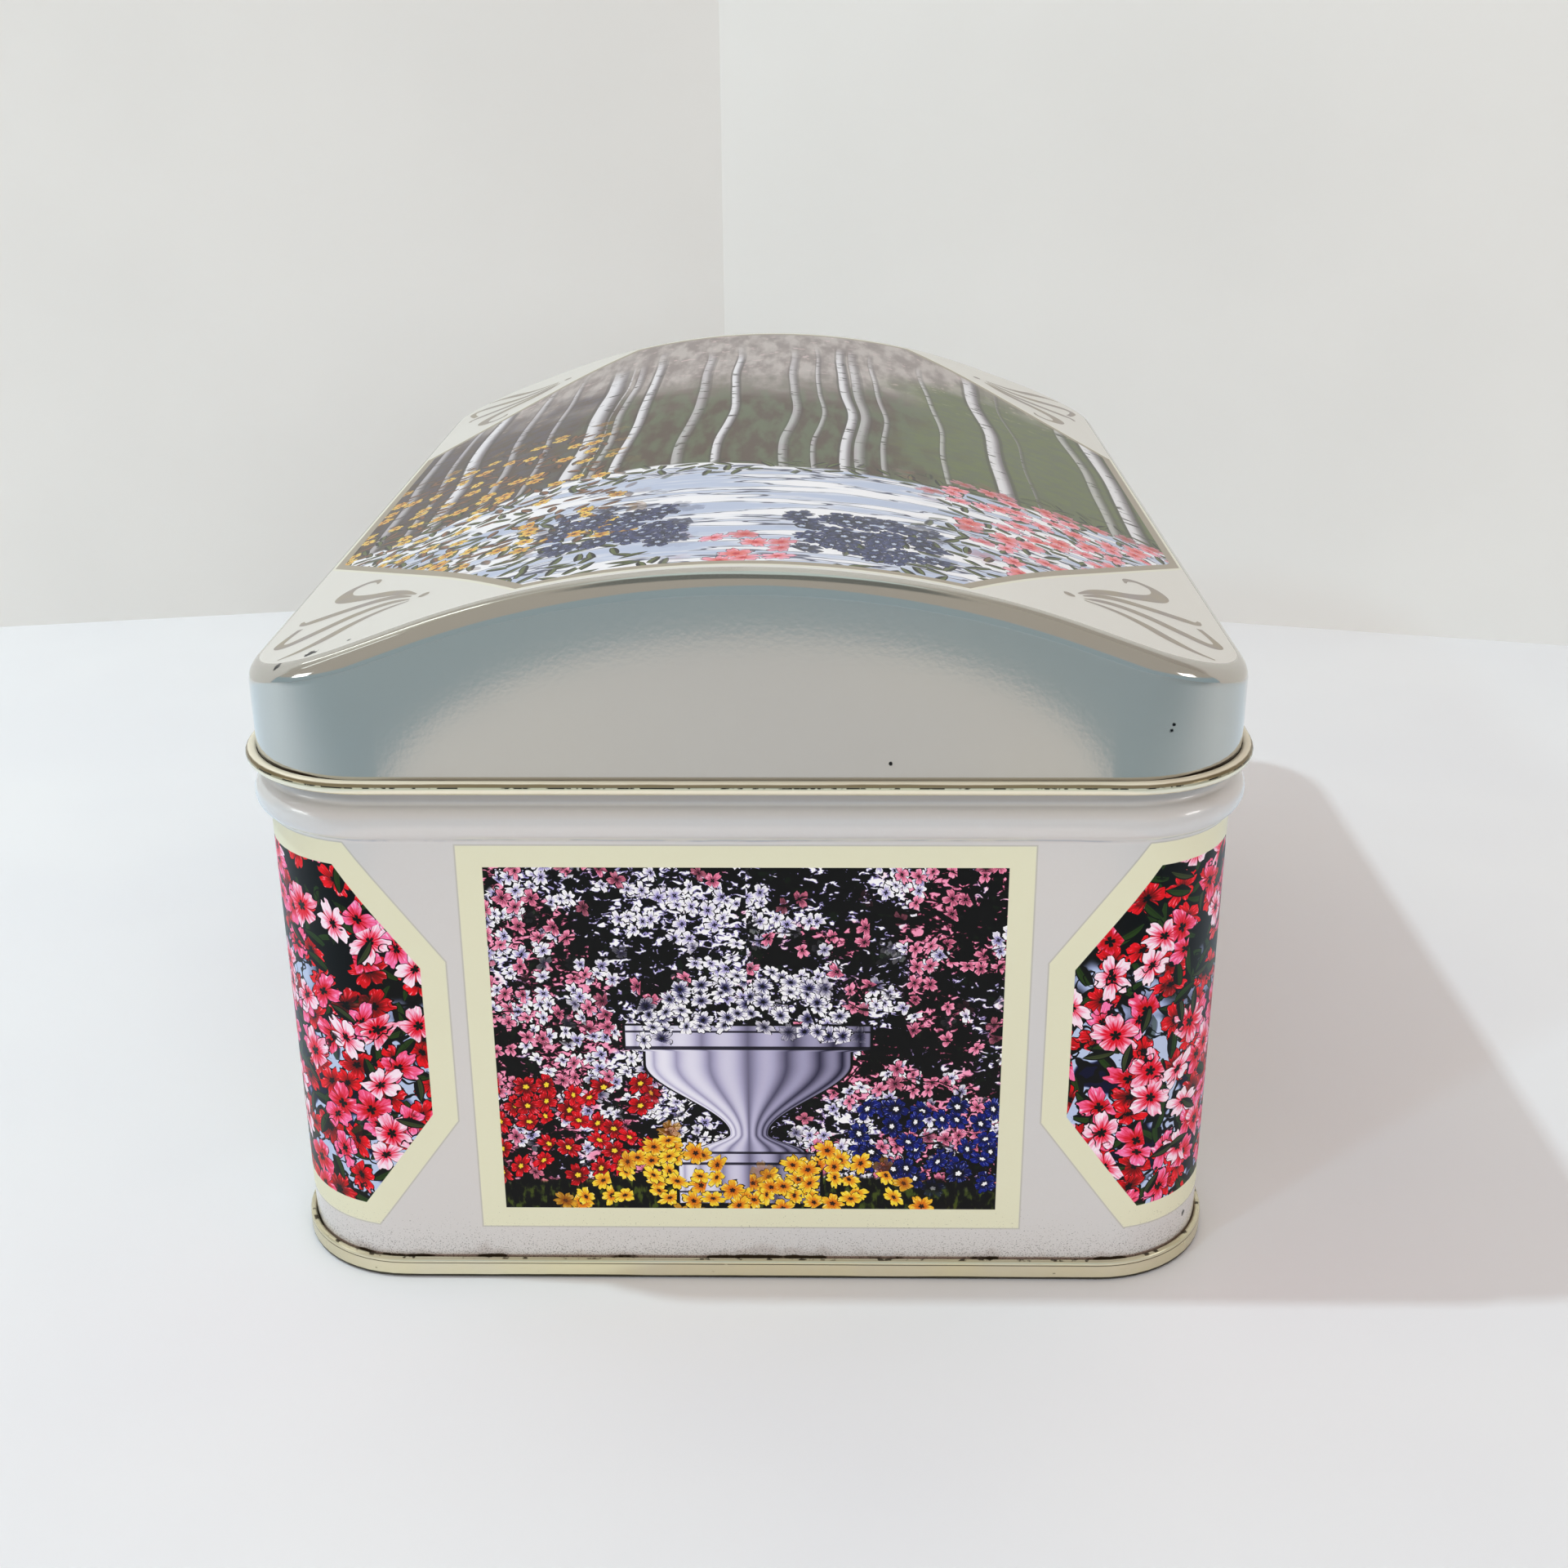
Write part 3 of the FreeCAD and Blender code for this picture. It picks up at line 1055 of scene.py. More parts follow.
@dataclass(frozen=True)
class Landscape:
    """The picture of the lid's top: a birch glade beyond a pond with flowering banks."""

    brush_size: float = 2.4
    brush_stretch: Point = (1.0, 0.22)
    broad_size: float = 15.0
    dab_size: float = 1.8
    high_wander: float = 34.0
    side_wander: float = 26.0
    sky: Colour = ink_colour(154, 143, 141)
    sky_mix: Point = (0.36, 0.64)
    wood: Wash = Wash(INKS.bark, INKS.moss, mix=(0.38, 0.62), high=(40.0, 10.0))
    meadow: Wash = Wash(INKS.moss, INKS.grass, mix=(0.3, 0.7), high=(52.0, 34.0), side=(16.0, 28.0))
    thicket: Wash = Wash(ink_colour(92, 84, 100), INKS.bark, mix=(0.35, 0.65), high=(44.0, 28.0),
                         side=(-20.0, -32.0), strength=0.85)
    petals: Colour = ink_colour(206, 190, 190)
    petals_edge: Point = (0.62, 0.68)
    petals_high: Point = (20.0, 50.0)
    petals_strength: float = 0.7
    trunks: tuple[Trunks, ...] = (
        Trunks(pitch=8.0, half=0.7, seed=2.0, high=(64.0, 40.0), strength=0.45),
        Trunks(pitch=15.0, half=1.2, seed=5.0, high=(66.0, 40.0), strength=0.8))
    shore: Point = (-27.6, -28.6)
    shore_wave: float = 0.09
    shore_swing: float = 2.2
    shore_wander: float = 5.0
    ripple_size: float = 3.2
    ripple_stretch: Point = (0.16, 1.0)
    ripple_mix: Point = (0.4, 0.6)
    ripple_line: Point = (0.016, 0.006)
    ripple_ink: Colour = ink_colour(96, 100, 122)
    bank_level: float = 40.0
    bank_slope: float = 0.55
    bank_edge: Point = (24.0, 27.0)
    far_shore: float = 29.0
    far_shore_edge: Point = (4.0, 2.5)
    bank_top: Point = (-18.0, -22.0)
    left: Bed = Bed(side=(-18.0, -24.0), top=(14.0, 4.0), foot=(-62.0, -56.0), slant=0.15)
    right: Bed = Bed(side=(13.0, 17.0), top=(-22.0, -28.0), slant=0.2)
    middle: float = 1.0
    clump_from_middle: float = 14.0
    clump_side: Point = (8.5, 7.0)
    clump_level: float = 58.0
    clump_slant: float = 0.2
    clump_up: Point = (9.0, 7.5)
    spot_side: Point = (6.0, 4.5)
    spot_top: Point = (-60.0, -63.0)
    reed: Leaf = Leaf(size=2.4, length=1.9, width=0.42, deep=INKS.black, pale=INKS.grass, share=0.85)
    litter: Leaf = Leaf(
        size=2.6, length=1.4, width=0.5, deep=INKS.bark, pale=ink_colour(150, 106, 72), share=0.7)
    spark: Flower = Flower(size=3.2, cover=0.5, deep=INKS.amber, pale=INKS.yellow, heart=INKS.bark, share=0.4)
    coral: Flower = Flower(
        size=3.6, cover=0.6, deep=INKS.coral, pale=INKS.rose, heart=INKS.crimson, share=0.7)
    iris: Flower = Flower(size=3.4, cover=0.66, deep=ink_colour(22, 26, 52), pale=ink_colour(66, 78, 126),
                          heart=INKS.sky, share=0.95, outline=0.2)

    def draw(self, sheet: Print, u: Ink, v: Ink) -> None:
        """Lays the picture.

        Args:
            sheet: The print to lay it on.
            u: Coordinate across the picture, in millimetres.
            v: Coordinate up the picture, in millimetres.
        """
        brush = sheet.noise(self.brush_size, detail=4.0, stretch=self.brush_stretch, flat=(u, v))
        broad = sheet.noise(self.broad_size, detail=3.0, flat=(u, v))
        dab = sheet.noise(self.dab_size, detail=3.0, flat=(u, v), seed=6.0)
        high = v + (broad - 0.5) * self.high_wander
        side = u + (broad - 0.5) * self.side_wander
        sheet.colour = sheet.blend(INKS.haze, self.sky, brush.ramp(*self.sky_mix))
        self.wood.draw(sheet, brush, side, high)
        self.meadow.draw(sheet, dab, side, high)
        self.thicket.draw(sheet, dab, side, high)
        petals = dab.ramp(*self.petals_edge) * high.ramp(*self.petals_high)
        sheet.lay(petals * self.petals_strength, self.petals)
        for row in self.trunks:
            row.draw(sheet, u, v, high)
        ripple = sheet.noise(self.ripple_size, detail=3.0, stretch=self.ripple_stretch, flat=(u, v), seed=3.0)
        water = sheet.blend(INKS.white, INKS.sky, ripple.ramp(*self.ripple_mix))
        water = sheet.blend(water, self.ripple_ink, abs(ripple - 0.5).ramp(*self.ripple_line))
        wave = (u * self.shore_wave).sine() * self.shore_swing
        shore = v + wave + (broad - 0.5) * self.shore_wander
        sheet.lay(shore.ramp(*self.shore), water)
        self.plants(sheet, u, v)

    def plants(self, sheet: Print, u: Ink, v: Ink) -> None:
        """Lays the reeds, leaves and flowers.

        Args:
            sheet: The print to lay them on.
            u: Coordinate across the picture.
            v: Coordinate up the picture.
        """
        def banks(cu: Ink, cv: Ink) -> Ink:
            """Both banks of the pond and its far shore."""
            rim = (abs(cu) - (cv + self.bank_level) * self.bank_slope).ramp(*self.bank_edge)
            shores = rim.most(abs(cv + self.far_shore).ramp(*self.far_shore_edge)) * cv.ramp(*self.bank_top)
            return shores.most(self.right.holds(cu, cv))

        def blooms(cu: Ink, cv: Ink) -> Ink:
            """The bank on the right and a spot at the near edge."""
            spot = abs(cu + self.middle).ramp(*self.spot_side) * cv.ramp(*self.spot_top)
            return self.right.holds(cu, cv).most(spot)

        def clumps(cu: Ink, cv: Ink) -> Ink:
            """Clumps at the near edge and in the water."""
            across = abs(abs(cu + self.middle) - self.clump_from_middle).ramp(*self.clump_side)
            return across * abs(cv + self.clump_level + cu * self.clump_slant).ramp(*self.clump_up)

        self.reed.scatter(sheet, u, v, seed=41.0, where=banks)
        self.litter.scatter(sheet, u, v, seed=43.0, where=self.left.holds)
        self.spark.scatter(sheet, u, v, seed=44.0, where=self.left.holds)
        self.coral.scatter(sheet, u, v, seed=45.0, where=blooms)
        for seed in (46.0, 47.0):
            self.iris.scatter(sheet, u, v, seed=seed, where=clumps)


# Where the prints lie

@dataclass(frozen=True)
class Panel:
    """A printed panel: a cream border round a picture, square or with cut corners."""

    half_width: float
    middle: float
    half_height: float
    border: float
    border_ends: float
    cut_across: float = 0.0
    cut_up: float = 0.0

    def depth(self, u: Ink, v: Ink, inset: float = 0.0, inset_ends: float = 0.0) -> Ink:
        """Distance inside the panel's edge, negative outside.

        Args:
            u: Distance from the panel's middle line.
            v: Height above the table.
            inset: How far the sides are drawn in.
            inset_ends: How far the lower and upper edges are drawn in.

        Returns:
            The distance in millimetres.
        """
        wide, tall = self.half_width - inset, self.half_height - inset_ends
        across, up = abs(u), abs(v - self.middle)
        depth = (wide - across).least(tall - up)
        if self.cut_across:
            slant = math.hypot(self.cut_across, self.cut_up)
            drawn_in = (inset + inset_ends) / 2 * slant / (self.cut_across * self.cut_up)
            level = (across - (self.half_width - self.cut_across)) / self.cut_across
            level = level + (up - (self.half_height - self.cut_up)) / self.cut_up
            depth = depth.least((1 - drawn_in - level) * (self.cut_across * self.cut_up / slant))
        return depth

    def picture(self, u: Ink, v: Ink) -> Ink:
        """Distance inside the picture's edge, negative outside."""
        return self.depth(u, v, self.border, self.border_ends)


class Zone(Enum):
    """Parts of the body's outside, each with its own panel."""

    END = "end"
    SIDE = "side"
    CORNER = "corner"


PANELS = {
    Zone.END: Panel(half_width=31.3, middle=31.15, half_height=24.4, border=2.8, border_ends=2.55),
    Zone.SIDE: Panel(half_width=53.8, middle=31.15, half_height=24.4, border=2.8, border_ends=2.55),
    Zone.CORNER: Panel(half_width=18.0, middle=31.25, half_height=24.5, border=2.85, border_ends=2.7,
                       cut_across=10.3, cut_up=14.3),
}
WHITE: Colour = (1.0, 1.0, 1.0, 1.0)
MOTTLE: Point = (0.3, 0.75)
INK_EDGE: Point = (-0.04, 0.06)


@dataclass(frozen=True)
class Enamel:
    """Gloss of a printed sheet: its metal, roughness, varnish and ripple, mostly where no ink covers it."""

    metal: float
    rough: float
    rough_cloud: float
    rough_grain: float
    rough_ink: float
    coat: float
    ripple_size: float
    ripple_detail: float
    ripple_depth: float
    grain: float = 0.35
    grain_share: float = 0.12

    def finish(self, sheet: Print, cloud: Ink, inked: Ink) -> Material:
        """Adds the grain and sets the gloss.

        Args:
            sheet: The print with all its colours laid.
            cloud: Broad noise that varies the roughness.
            inked: One where ink covers the metal.

        Returns:
            The finished material.
        """
        grain = sheet.noise(self.grain, detail=1.0)
        sheet.colour = sheet.blend(sheet.colour, WHITE, (grain - 0.5) * self.grain_share, "SOFT_LIGHT")
        rough = cloud * self.rough_cloud + self.rough + grain * self.rough_grain + inked * self.rough_ink
        bare = 1 - inked
        ripple = sheet.noise(self.ripple_size, self.ripple_detail, seed=9.0)
        return sheet.ready(bare * self.metal, rough, bare * self.coat, ripple, self.ripple_depth)


@dataclass(frozen=True)
class BodyWearAndPaintedLight:
    """Rust and flakes along the seam, dust above it, a painted shade under the lid's curl and a painted
    bluish reflection along the foot of the bead.
    """

    seam_height: float = 2.6
    patch_size: float = 5.0
    stain_from: float = 0.45
    stain_rise: float = 7.0
    stain_edge: Point = (0.5, -0.6)
    stain_strength: float = 0.25
    line_edge: Point = (0.2, 0.04)
    line_strength: float = 0.7
    flake_rise: float = 1.6
    flake_edge: Point = (0.12, -0.04)
    flake_where: Point = (0.5, 0.56)
    dust_grain: float = 0.17
    dust_fall: float = 0.028
    dust_edge: Point = (0.51, 0.61)
    dust_strength: float = 0.5
    # Painted shade of the lid's curl on the top of the bead: where it starts, where it ends, how dark
    lid_shade: Point = (60.3, 61.1)
    lid_shade_end: Point = (62.4, 61.4)
    lid_shade_strength: float = 0.42
    # Height of the bead's foot, and the painted bluish reflection along it
    bead_foot: float = 56.3
    bead_reflection_size: float = 14.0
    bead_reflection_wander: float = 1.2
    bead_reflection_edge: Point = (0.3, 0.05)
    bead_reflection_where: Point = (0.44, 0.6)
    bead_reflection_strength: float = 0.6
    chip: Triple = (51.5, -71.3, 5.3)
    chip_size: float = 0.7

    def draw(self, sheet: Print, corner: bool) -> None:
        """Lays the rust, flakes, dust and chip, with the painted shade under the lid and the painted
        reflection at the bead's foot.

        Args:
            sheet: The print to lay it on.
            corner: Whether the zone has the chipped corner.
        """
        rise = sheet.z - self.seam_height
        patch = sheet.noise(self.patch_size, detail=4.0, seed=3.0)
        stain = (rise - (patch - self.stain_from) * self.stain_rise).ramp(*self.stain_edge)
        sheet.lay(stain * self.stain_strength, INKS.rust)
        sheet.lay(rise.ramp(*self.line_edge) * self.line_strength, INKS.rust)
        flake = (rise - (patch - 0.5) * self.flake_rise).ramp(*self.flake_edge)
        sheet.lay(flake * patch.ramp(*self.flake_where), INKS.grime_and_shade)
        dust = sheet.noise(self.dust_grain, detail=2.0, seed=31.0) - rise * self.dust_fall
        sheet.lay(dust.ramp(*self.dust_edge) * self.dust_strength, INKS.grime_and_shade)
        # Painted shade of the lid's curl, laid in the dark dirt colour on the top of the bead
        shade = sheet.z.ramp(*self.lid_shade) * sheet.z.ramp(*self.lid_shade_end)
        sheet.lay(shade * self.lid_shade_strength, INKS.grime_and_shade)
        # Painted reflection: a broken bluish line along the foot of the bead, where its hollow would mirror
        # the room
        wander = (sheet.noise(self.bead_reflection_size, detail=3.0, seed=4.0) - 0.5) * self.bead_reflection_wander
        edge = abs(sheet.z - self.bead_foot + wander)
        broken = sheet.noise(self.patch_size, detail=4.0, seed=6.0).ramp(*self.bead_reflection_where)
        sheet.lay(edge.ramp(*self.bead_reflection_edge) * broken * self.bead_reflection_strength, INKS.bead_reflection)
        if corner:
            sheet.chip(self.chip, self.chip_size)


@dataclass(frozen=True)
class BodyPrint:
    """The printed outside of one zone of the body: a panel on silver enamel, with rust, flakes and dust, a
    painted shade and a painted reflection.
    """

    zone: Zone
    width: float = 108.4
    length: float = 153.4
    corner_radius: float = 13.5
    seam_strip: float = 2.4
    strip_edge: float = 0.1
    urn_from_middle: float = 26.5
    panel_shift: Point = (70.0, 160.0)
    contrast: float = 1.0
    cloud_size: float = 38.0
    picture_edge: Point = (-0.03, 0.05)
    line_edge: Point = (-0.22, -0.1)
    line_strength: float = 0.55
    wear_and_painted_light: BodyWearAndPaintedLight = BodyWearAndPaintedLight()
    enamel: Enamel = Enamel(
        metal=0.14, rough=0.24, rough_cloud=0.08, rough_grain=0.04, rough_ink=0.06, coat=0.9,
        ripple_size=2.4, ripple_detail=1.0, ripple_depth=0.004)

    def across(self, sheet: Print) -> Ink:
        """Distance from the panel's middle line, along the sheet.

        Args:
            sheet: The print whose points are asked for.

        Returns:
            The distance in millimetres.
        """
        if self.zone is Zone.END:
            return sheet.x * sheet.y.sign() * -1.0
        if self.zone is Zone.SIDE:
            return sheet.y * sheet.x.sign()
        round_x = abs(sheet.x) - (self.width / 2 - self.corner_radius)
        round_y = abs(sheet.y) - (self.length / 2 - self.corner_radius)
        turn = round_x.most(0.0).angle(round_y.most(0.0)) - math.pi / 4
        return turn * self.corner_radius + round_x.least(0.0) - round_y.least(0.0)

    def make(self) -> Material:
        """Builds the material.

        Returns:
            The finished material.
        """
        sheet = Print("body_enamel_" + self.zone.value)
        panel = PANELS[self.zone]
        u = self.across(sheet)
        v = sheet.z
        other = u + sheet.x.sign() * self.panel_shift[0] + sheet.y.sign() * self.panel_shift[1]
        if self.zone is Zone.CORNER:
            WildRoses().draw(sheet, other, v)
        else:
            Garden().draw(sheet, other, u if self.zone is Zone.END else abs(u) - self.urn_from_middle, v)
        picture = sheet.blend(sheet.colour, sheet.colour, self.contrast, "OVERLAY")

        cloud = sheet.noise(self.cloud_size)
        outer = panel.depth(u, v)
        shown = outer.ramp(*INK_EDGE)
        line = outer.ramp(*self.line_edge)
        if self.zone is Zone.SIDE:
            strip = abs(u).ramp(self.seam_strip + self.strip_edge, self.seam_strip)
            printed = 1 - strip * sheet.x.over(0.0)
            shown = shown * printed
            line = line * printed
        sheet.colour = sheet.blend(INKS.silver, INKS.silver_cool, cloud.ramp(*MOTTLE))
        sheet.lay(line * self.line_strength, INKS.cream_edge)
        sheet.lay(shown, sheet.blend(INKS.cream, INKS.cream_shade, cloud))
        sheet.lay(panel.picture(u, v).ramp(*self.picture_edge) * shown, picture)
        self.wear_and_painted_light.draw(sheet, self.zone is Zone.CORNER)
        return self.enamel.finish(sheet, cloud, shown)


@dataclass(frozen=True)
class LidPrint:
    """The printed outside of the lid: a framed landscape on cream, silver on the skirt."""

    width: float = 110.0
    length: float = 155.0
    corner_radius: float = 14.3
    silver_border: float = 2.3
    side_border: float = 1.3
    # The dark line at the foot of the skirt is painted crevice shade with some dirt: its height, its rise
    # towards the corners and how it wanders
    crevice_top: float = 63.36
    crevice_corner: float = 0.4
    corner_from: Point = (40.0, 53.0)
    crevice_patch_size: float = 7.0
    crevice_wander_from: float = 0.4
    crevice_wander: float = 0.4
    crevice_edge: Point = (0.08, -0.06)
    contrast: float = 0.35
    cloud_size: float = 42.0
    border_edge: Point = (-0.1, 0.15)
    cream_mottle: Point = (0.5, 0.95)
    cream_share: float = 0.5
    halo_edge: Point = (-0.5, -0.4)
    halo_strength: float = 0.4
    frame: Panel = Panel(half_width=53.2, middle=0.0, half_height=74.0, border=1.15, border_ends=1.15,
                         cut_across=29.7, cut_up=43.0)
    chips: tuple[Triple, ...] = ((-45.6, -73.3, 1.3), (-49.4, -73.0, 0.7), (-41.4, -73.4, 0.35))
    chip_edge: Point = (0.15, -0.05)
    nicks: tuple[Triple, ...] = ((44.9, -76.8, 69.5), (44.7, -76.9, 68.9), (15.5, -77.5, 65.4))
    nick_size: float = 0.4
    enamel: Enamel = Enamel(
        metal=0.8, rough=0.07, rough_cloud=0.02, rough_grain=0.02, rough_ink=0.24, coat=0.2,
        ripple_size=0.6, ripple_detail=2.0, ripple_depth=0.0025)

    def make(self) -> Material:
        """Builds the material.

        Returns:
            The finished material.
        """
        sheet = Print("lid_enamel")
        cloud = sheet.noise(self.cloud_size, seed=5.0)
        wide = self.width / 2 + self.silver_border - self.side_border
        over_x = abs(sheet.x) - (wide - self.corner_radius)
        over_y = abs(sheet.y) - (self.length / 2 - self.corner_radius)
        far = distance(over_x.most(0.0), over_y.most(0.0))
        inside = self.corner_radius - far - over_x.most(over_y).least(0.0)
        top = inside.ramp(*(self.silver_border + part for part in self.border_edge))

        Landscape().draw(sheet, sheet.x, sheet.y)
        landscape = sheet.blend(sheet.colour, sheet.colour, self.contrast, "OVERLAY")
        sheet.colour = sheet.blend(INKS.lid_silver, INKS.lid_silver_cool, cloud.ramp(*MOTTLE))
        shade = cloud.ramp(*self.cream_mottle) * self.cream_share
        sheet.lay(top, sheet.blend(INKS.lid_cream, INKS.silver, shade))
        framed = self.frame.depth(sheet.x, sheet.y)
        sheet.lay(framed.ramp(*self.halo_edge) * top * self.halo_strength, INKS.cream)
        sheet.lay(framed.ramp(*INK_EDGE) * top, INKS.taupe)
        sheet.lay(self.frame.picture(sheet.x, sheet.y).ramp(*INK_EDGE) * top, landscape)
        self.wear_and_painted_light(sheet)
        return self.enamel.finish(sheet, cloud, top)

    def wear_and_painted_light(self, sheet: Print) -> None:
        """Lays a few chips along the front edge and a dark line where the skirt meets the curl, painted
        crevice shade with some dirt, reaching higher towards the corners.

        Args:
            sheet: The print to lay them on.
        """
        for across, along, size in self.chips:
            sheet.chip((across, along), size, self.chip_edge)
        for place in self.nicks:
            sheet.chip(place, self.nick_size)
        # Painted crevice shade with some dirt: a dark line at the foot of the skirt, reaching higher towards
        # the corners
        patch = sheet.noise(self.crevice_patch_size, detail=3.0, seed=8.0)
        line = abs(sheet.x).ramp(*self.corner_from) * self.crevice_corner + self.crevice_top
        wander = (patch - self.crevice_wander_from) * self.crevice_wander
        sheet.lay((sheet.z - line - wander).ramp(*self.crevice_edge), INKS.grime_and_shade)


@dataclass(frozen=True)
class Band:
    """A level stripe on a gold edge; the stripes are scuffs, painted highlights and painted shade. Gaps break
    it, and it can take off some of the gloss.
    """

    height: float
    half: float
    ink: Colour
    strength: float
    broken: float
    matt: float = 0.0


# The first colour is a painted highlight for the curl; the second a dark brown for thin lines
PAINTED_SHINE, SEAM_DARK = ink_colour(250, 242, 220), ink_colour(46, 34, 20)
# On the seam: a thin dark line below its upper fold, dirt where it meets the wall, a painted contact shadow
# along its foot that is partly a real dark edge, and broken dark marks across its face
SEAM_BANDS = (
    Band(height=2.05, half=0.05, ink=SEAM_DARK, strength=0.85, broken=0.25),
    Band(height=2.6, half=0.06, ink=INKS.grime_and_shade, strength=0.9, broken=0.6),
    Band(height=0.25, half=0.25, ink=INKS.black, strength=0.92, broken=0.0),
    Band(height=1.0, half=0.08, ink=SEAM_DARK, strength=0.9, broken=0.7))
# On the curl: two painted highlights, the upper one also less metallic, a darker bronze band and a row of
# broken black dashes
CURL_BANDS = (
    Band(height=62.6, half=0.25, ink=PAINTED_SHINE, strength=0.9, broken=0.1),
    Band(height=63.5, half=0.15, ink=PAINTED_SHINE, strength=0.9, broken=0.1, matt=0.75),
    Band(height=63.24, half=0.15, ink=INKS.bronze, strength=0.8, broken=0.2),
    Band(height=63.04, half=0.05, ink=INKS.black, strength=1.0, broken=0.52))


@dataclass(frozen=True)
class GoldLacquer:
    """Gold-lacquered tinplate, worn to bare tin in patches, with level stripes of scuffs, painted highlights
    and painted shade, and a painted darker reflection towards the long sides and corners.
    """

    name: str
    gold: Colour = ink_colour(234, 226, 190)
    tin: Colour = ink_colour(226, 220, 204)
    metal: float = 0.7
    bare: float = 0.5
    rough: float = 0.2
    side_reflection: float = 0.0
    side_reflection_from: Point = (42.0, 52.0)
    patch_size: float = 9.0
    patch_mix: Point = (0.25, 0.75)
    scratch_size: float = 0.5
    scratch_stretch: Point = (0.25, 3.0)
    scratch_edge: Point = (0.6, 0.85)
    scratch_strength: float = 0.12
    scratch_rough: float = 0.05
    gap_size: float = 1.2
    gap_seed: Point = (12.0, 7.0)
    gap_edge: float = 0.04
    band_edge: Point = (0.05, -0.03)
    bands: tuple[Band, ...] = ()

    def make(self) -> Material:
        """Builds the material.

        Returns:
            The finished material.
        """
        sheet = Print(self.name)
        patch = sheet.noise(self.patch_size, detail=3.0)
        fine = sheet.noise(self.scratch_size, detail=2.0, stretch=self.scratch_stretch)
        sheet.colour = sheet.blend(self.gold, self.tin, patch.ramp(*self.patch_mix) * self.bare)
        sheet.lay(fine.ramp(*self.scratch_edge) * self.scratch_strength, INKS.grime_and_shade)
        # Painted dark reflection: bronze laid towards the long sides and round the corners, where the metal
        # would mirror the darker room
        sheet.lay(abs(sheet.x).ramp(*self.side_reflection_from) * self.side_reflection, INKS.bronze)
        metal: Number = self.metal
        first_seed, seed_step = self.gap_seed
        for order, band in enumerate(self.bands):
            gaps = sheet.noise(self.gap_size, detail=4.0, seed=first_seed + order * seed_step)
            whole = gaps.ramp(band.broken - self.gap_edge, band.broken + self.gap_edge)
            off = abs(sheet.z - band.height + (patch - 0.5) * band.half)
            share = off.ramp(*(band.half + part for part in self.band_edge)) * whole * band.strength
            sheet.lay(share, band.ink)
            if band.matt:
                metal = (1 - share * band.matt) * metal
        return sheet.ready(metal, fine * self.scratch_rough + self.rough)


@dataclass(frozen=True)
class Plain:
    """A matt finish of one ink with a faint mottle, for the stage and the flourishes."""

    name: str
    colour: Colour
    shade: Colour
    size: float = 60.0
    rough: float = 0.8
    mix: Point = (0.3, 0.7)

    def start(self) -> Print:
        """Starts the material with its mottle laid.

        Returns:
            The print, not yet linked to its shader.
        """
        sheet = Print(self.name)
        mottle = sheet.noise(self.size, detail=2.0).ramp(*self.mix)
        sheet.colour = sheet.blend(self.colour, self.shade, mottle)
        return sheet

    def make(self) -> Material:
        """Builds the material.

        Returns:
            The finished material.
        """
        return self.start().ready(0.0, self.rough)


@dataclass(frozen=True)
class Floor(Plain):
    """Pale card under the box; reflections see it give way to the cooler room, away from the box."""

    room: Colour = (0.33, 0.48, 0.58, 1.0)
    room_side: Colour = (0.82, 0.96, 1.1, 1.0)
    shift: float = -6.0
    middle: float = -240.0
    half_width: float = 71.5
    half_length: float = 87.0
    side_from: Point = (-260.0, -40.0)
    behind: Point = (150.0, 70.0)
    room_edge: Point = (0.9, 1.06)

    def make(self) -> Material:
        """Builds the material.

        Returns:
            The finished material.
        """
        sheet = self.start()
        ahead = (sheet.y - self.middle).least(0.0) / self.half_length
        far = ((sheet.x - self.shift) / self.half_width).power(2.0) + ahead.power(2.0)
        room = sheet.blend(self.room, self.room_side, sheet.y.ramp(*self.side_from))
        sheet.lay(far.ramp(*self.room_edge) * sheet.y.ramp(*self.behind) * sheet.mirrored(), room)
        return sheet.ready(0.0, self.rough)


@dataclass(frozen=True)
class Board(Plain):
    """A pale board, open from behind; reflections see its upper parts, to the sides, in a warmer shade."""

    warm: Colour = (0.48, 0.45, 0.4, 1.0)
    rise: Point = (280.0, 380.0)
    aside: Point = (100.0, 220.0)

    def make(self) -> Material:
        """Builds the material.

        Returns:
            The finished material.
        """
        sheet = self.start()
        sheet.lay(sheet.z.ramp(*self.rise) * abs(sheet.x).ramp(*self.aside) * sheet.mirrored(), self.warm)
        made = sheet.ready(0.0, self.rough)
        pick = sheet.node("ShaderNodeMixShader")
        links = sheet.tree.links
        links.new(sheet.node("ShaderNodeNewGeometry").outputs["Backfacing"], pick.inputs[0])
        links.new(sheet.shader.outputs[0], pick.inputs[1])
        links.new(sheet.node("ShaderNodeBsdfTransparent").outputs[0], pick.inputs[2])
        links.new(pick.outputs[0], sheet.tree.nodes["Material Output"].inputs["Surface"])
        return made


# Sheet sections

class Face(Enum):
    """Which face of the sheet lies on the left of its section line."""

    INSIDE_LEFT = "inside on the left"
    OUTSIDE_LEFT = "outside on the left"


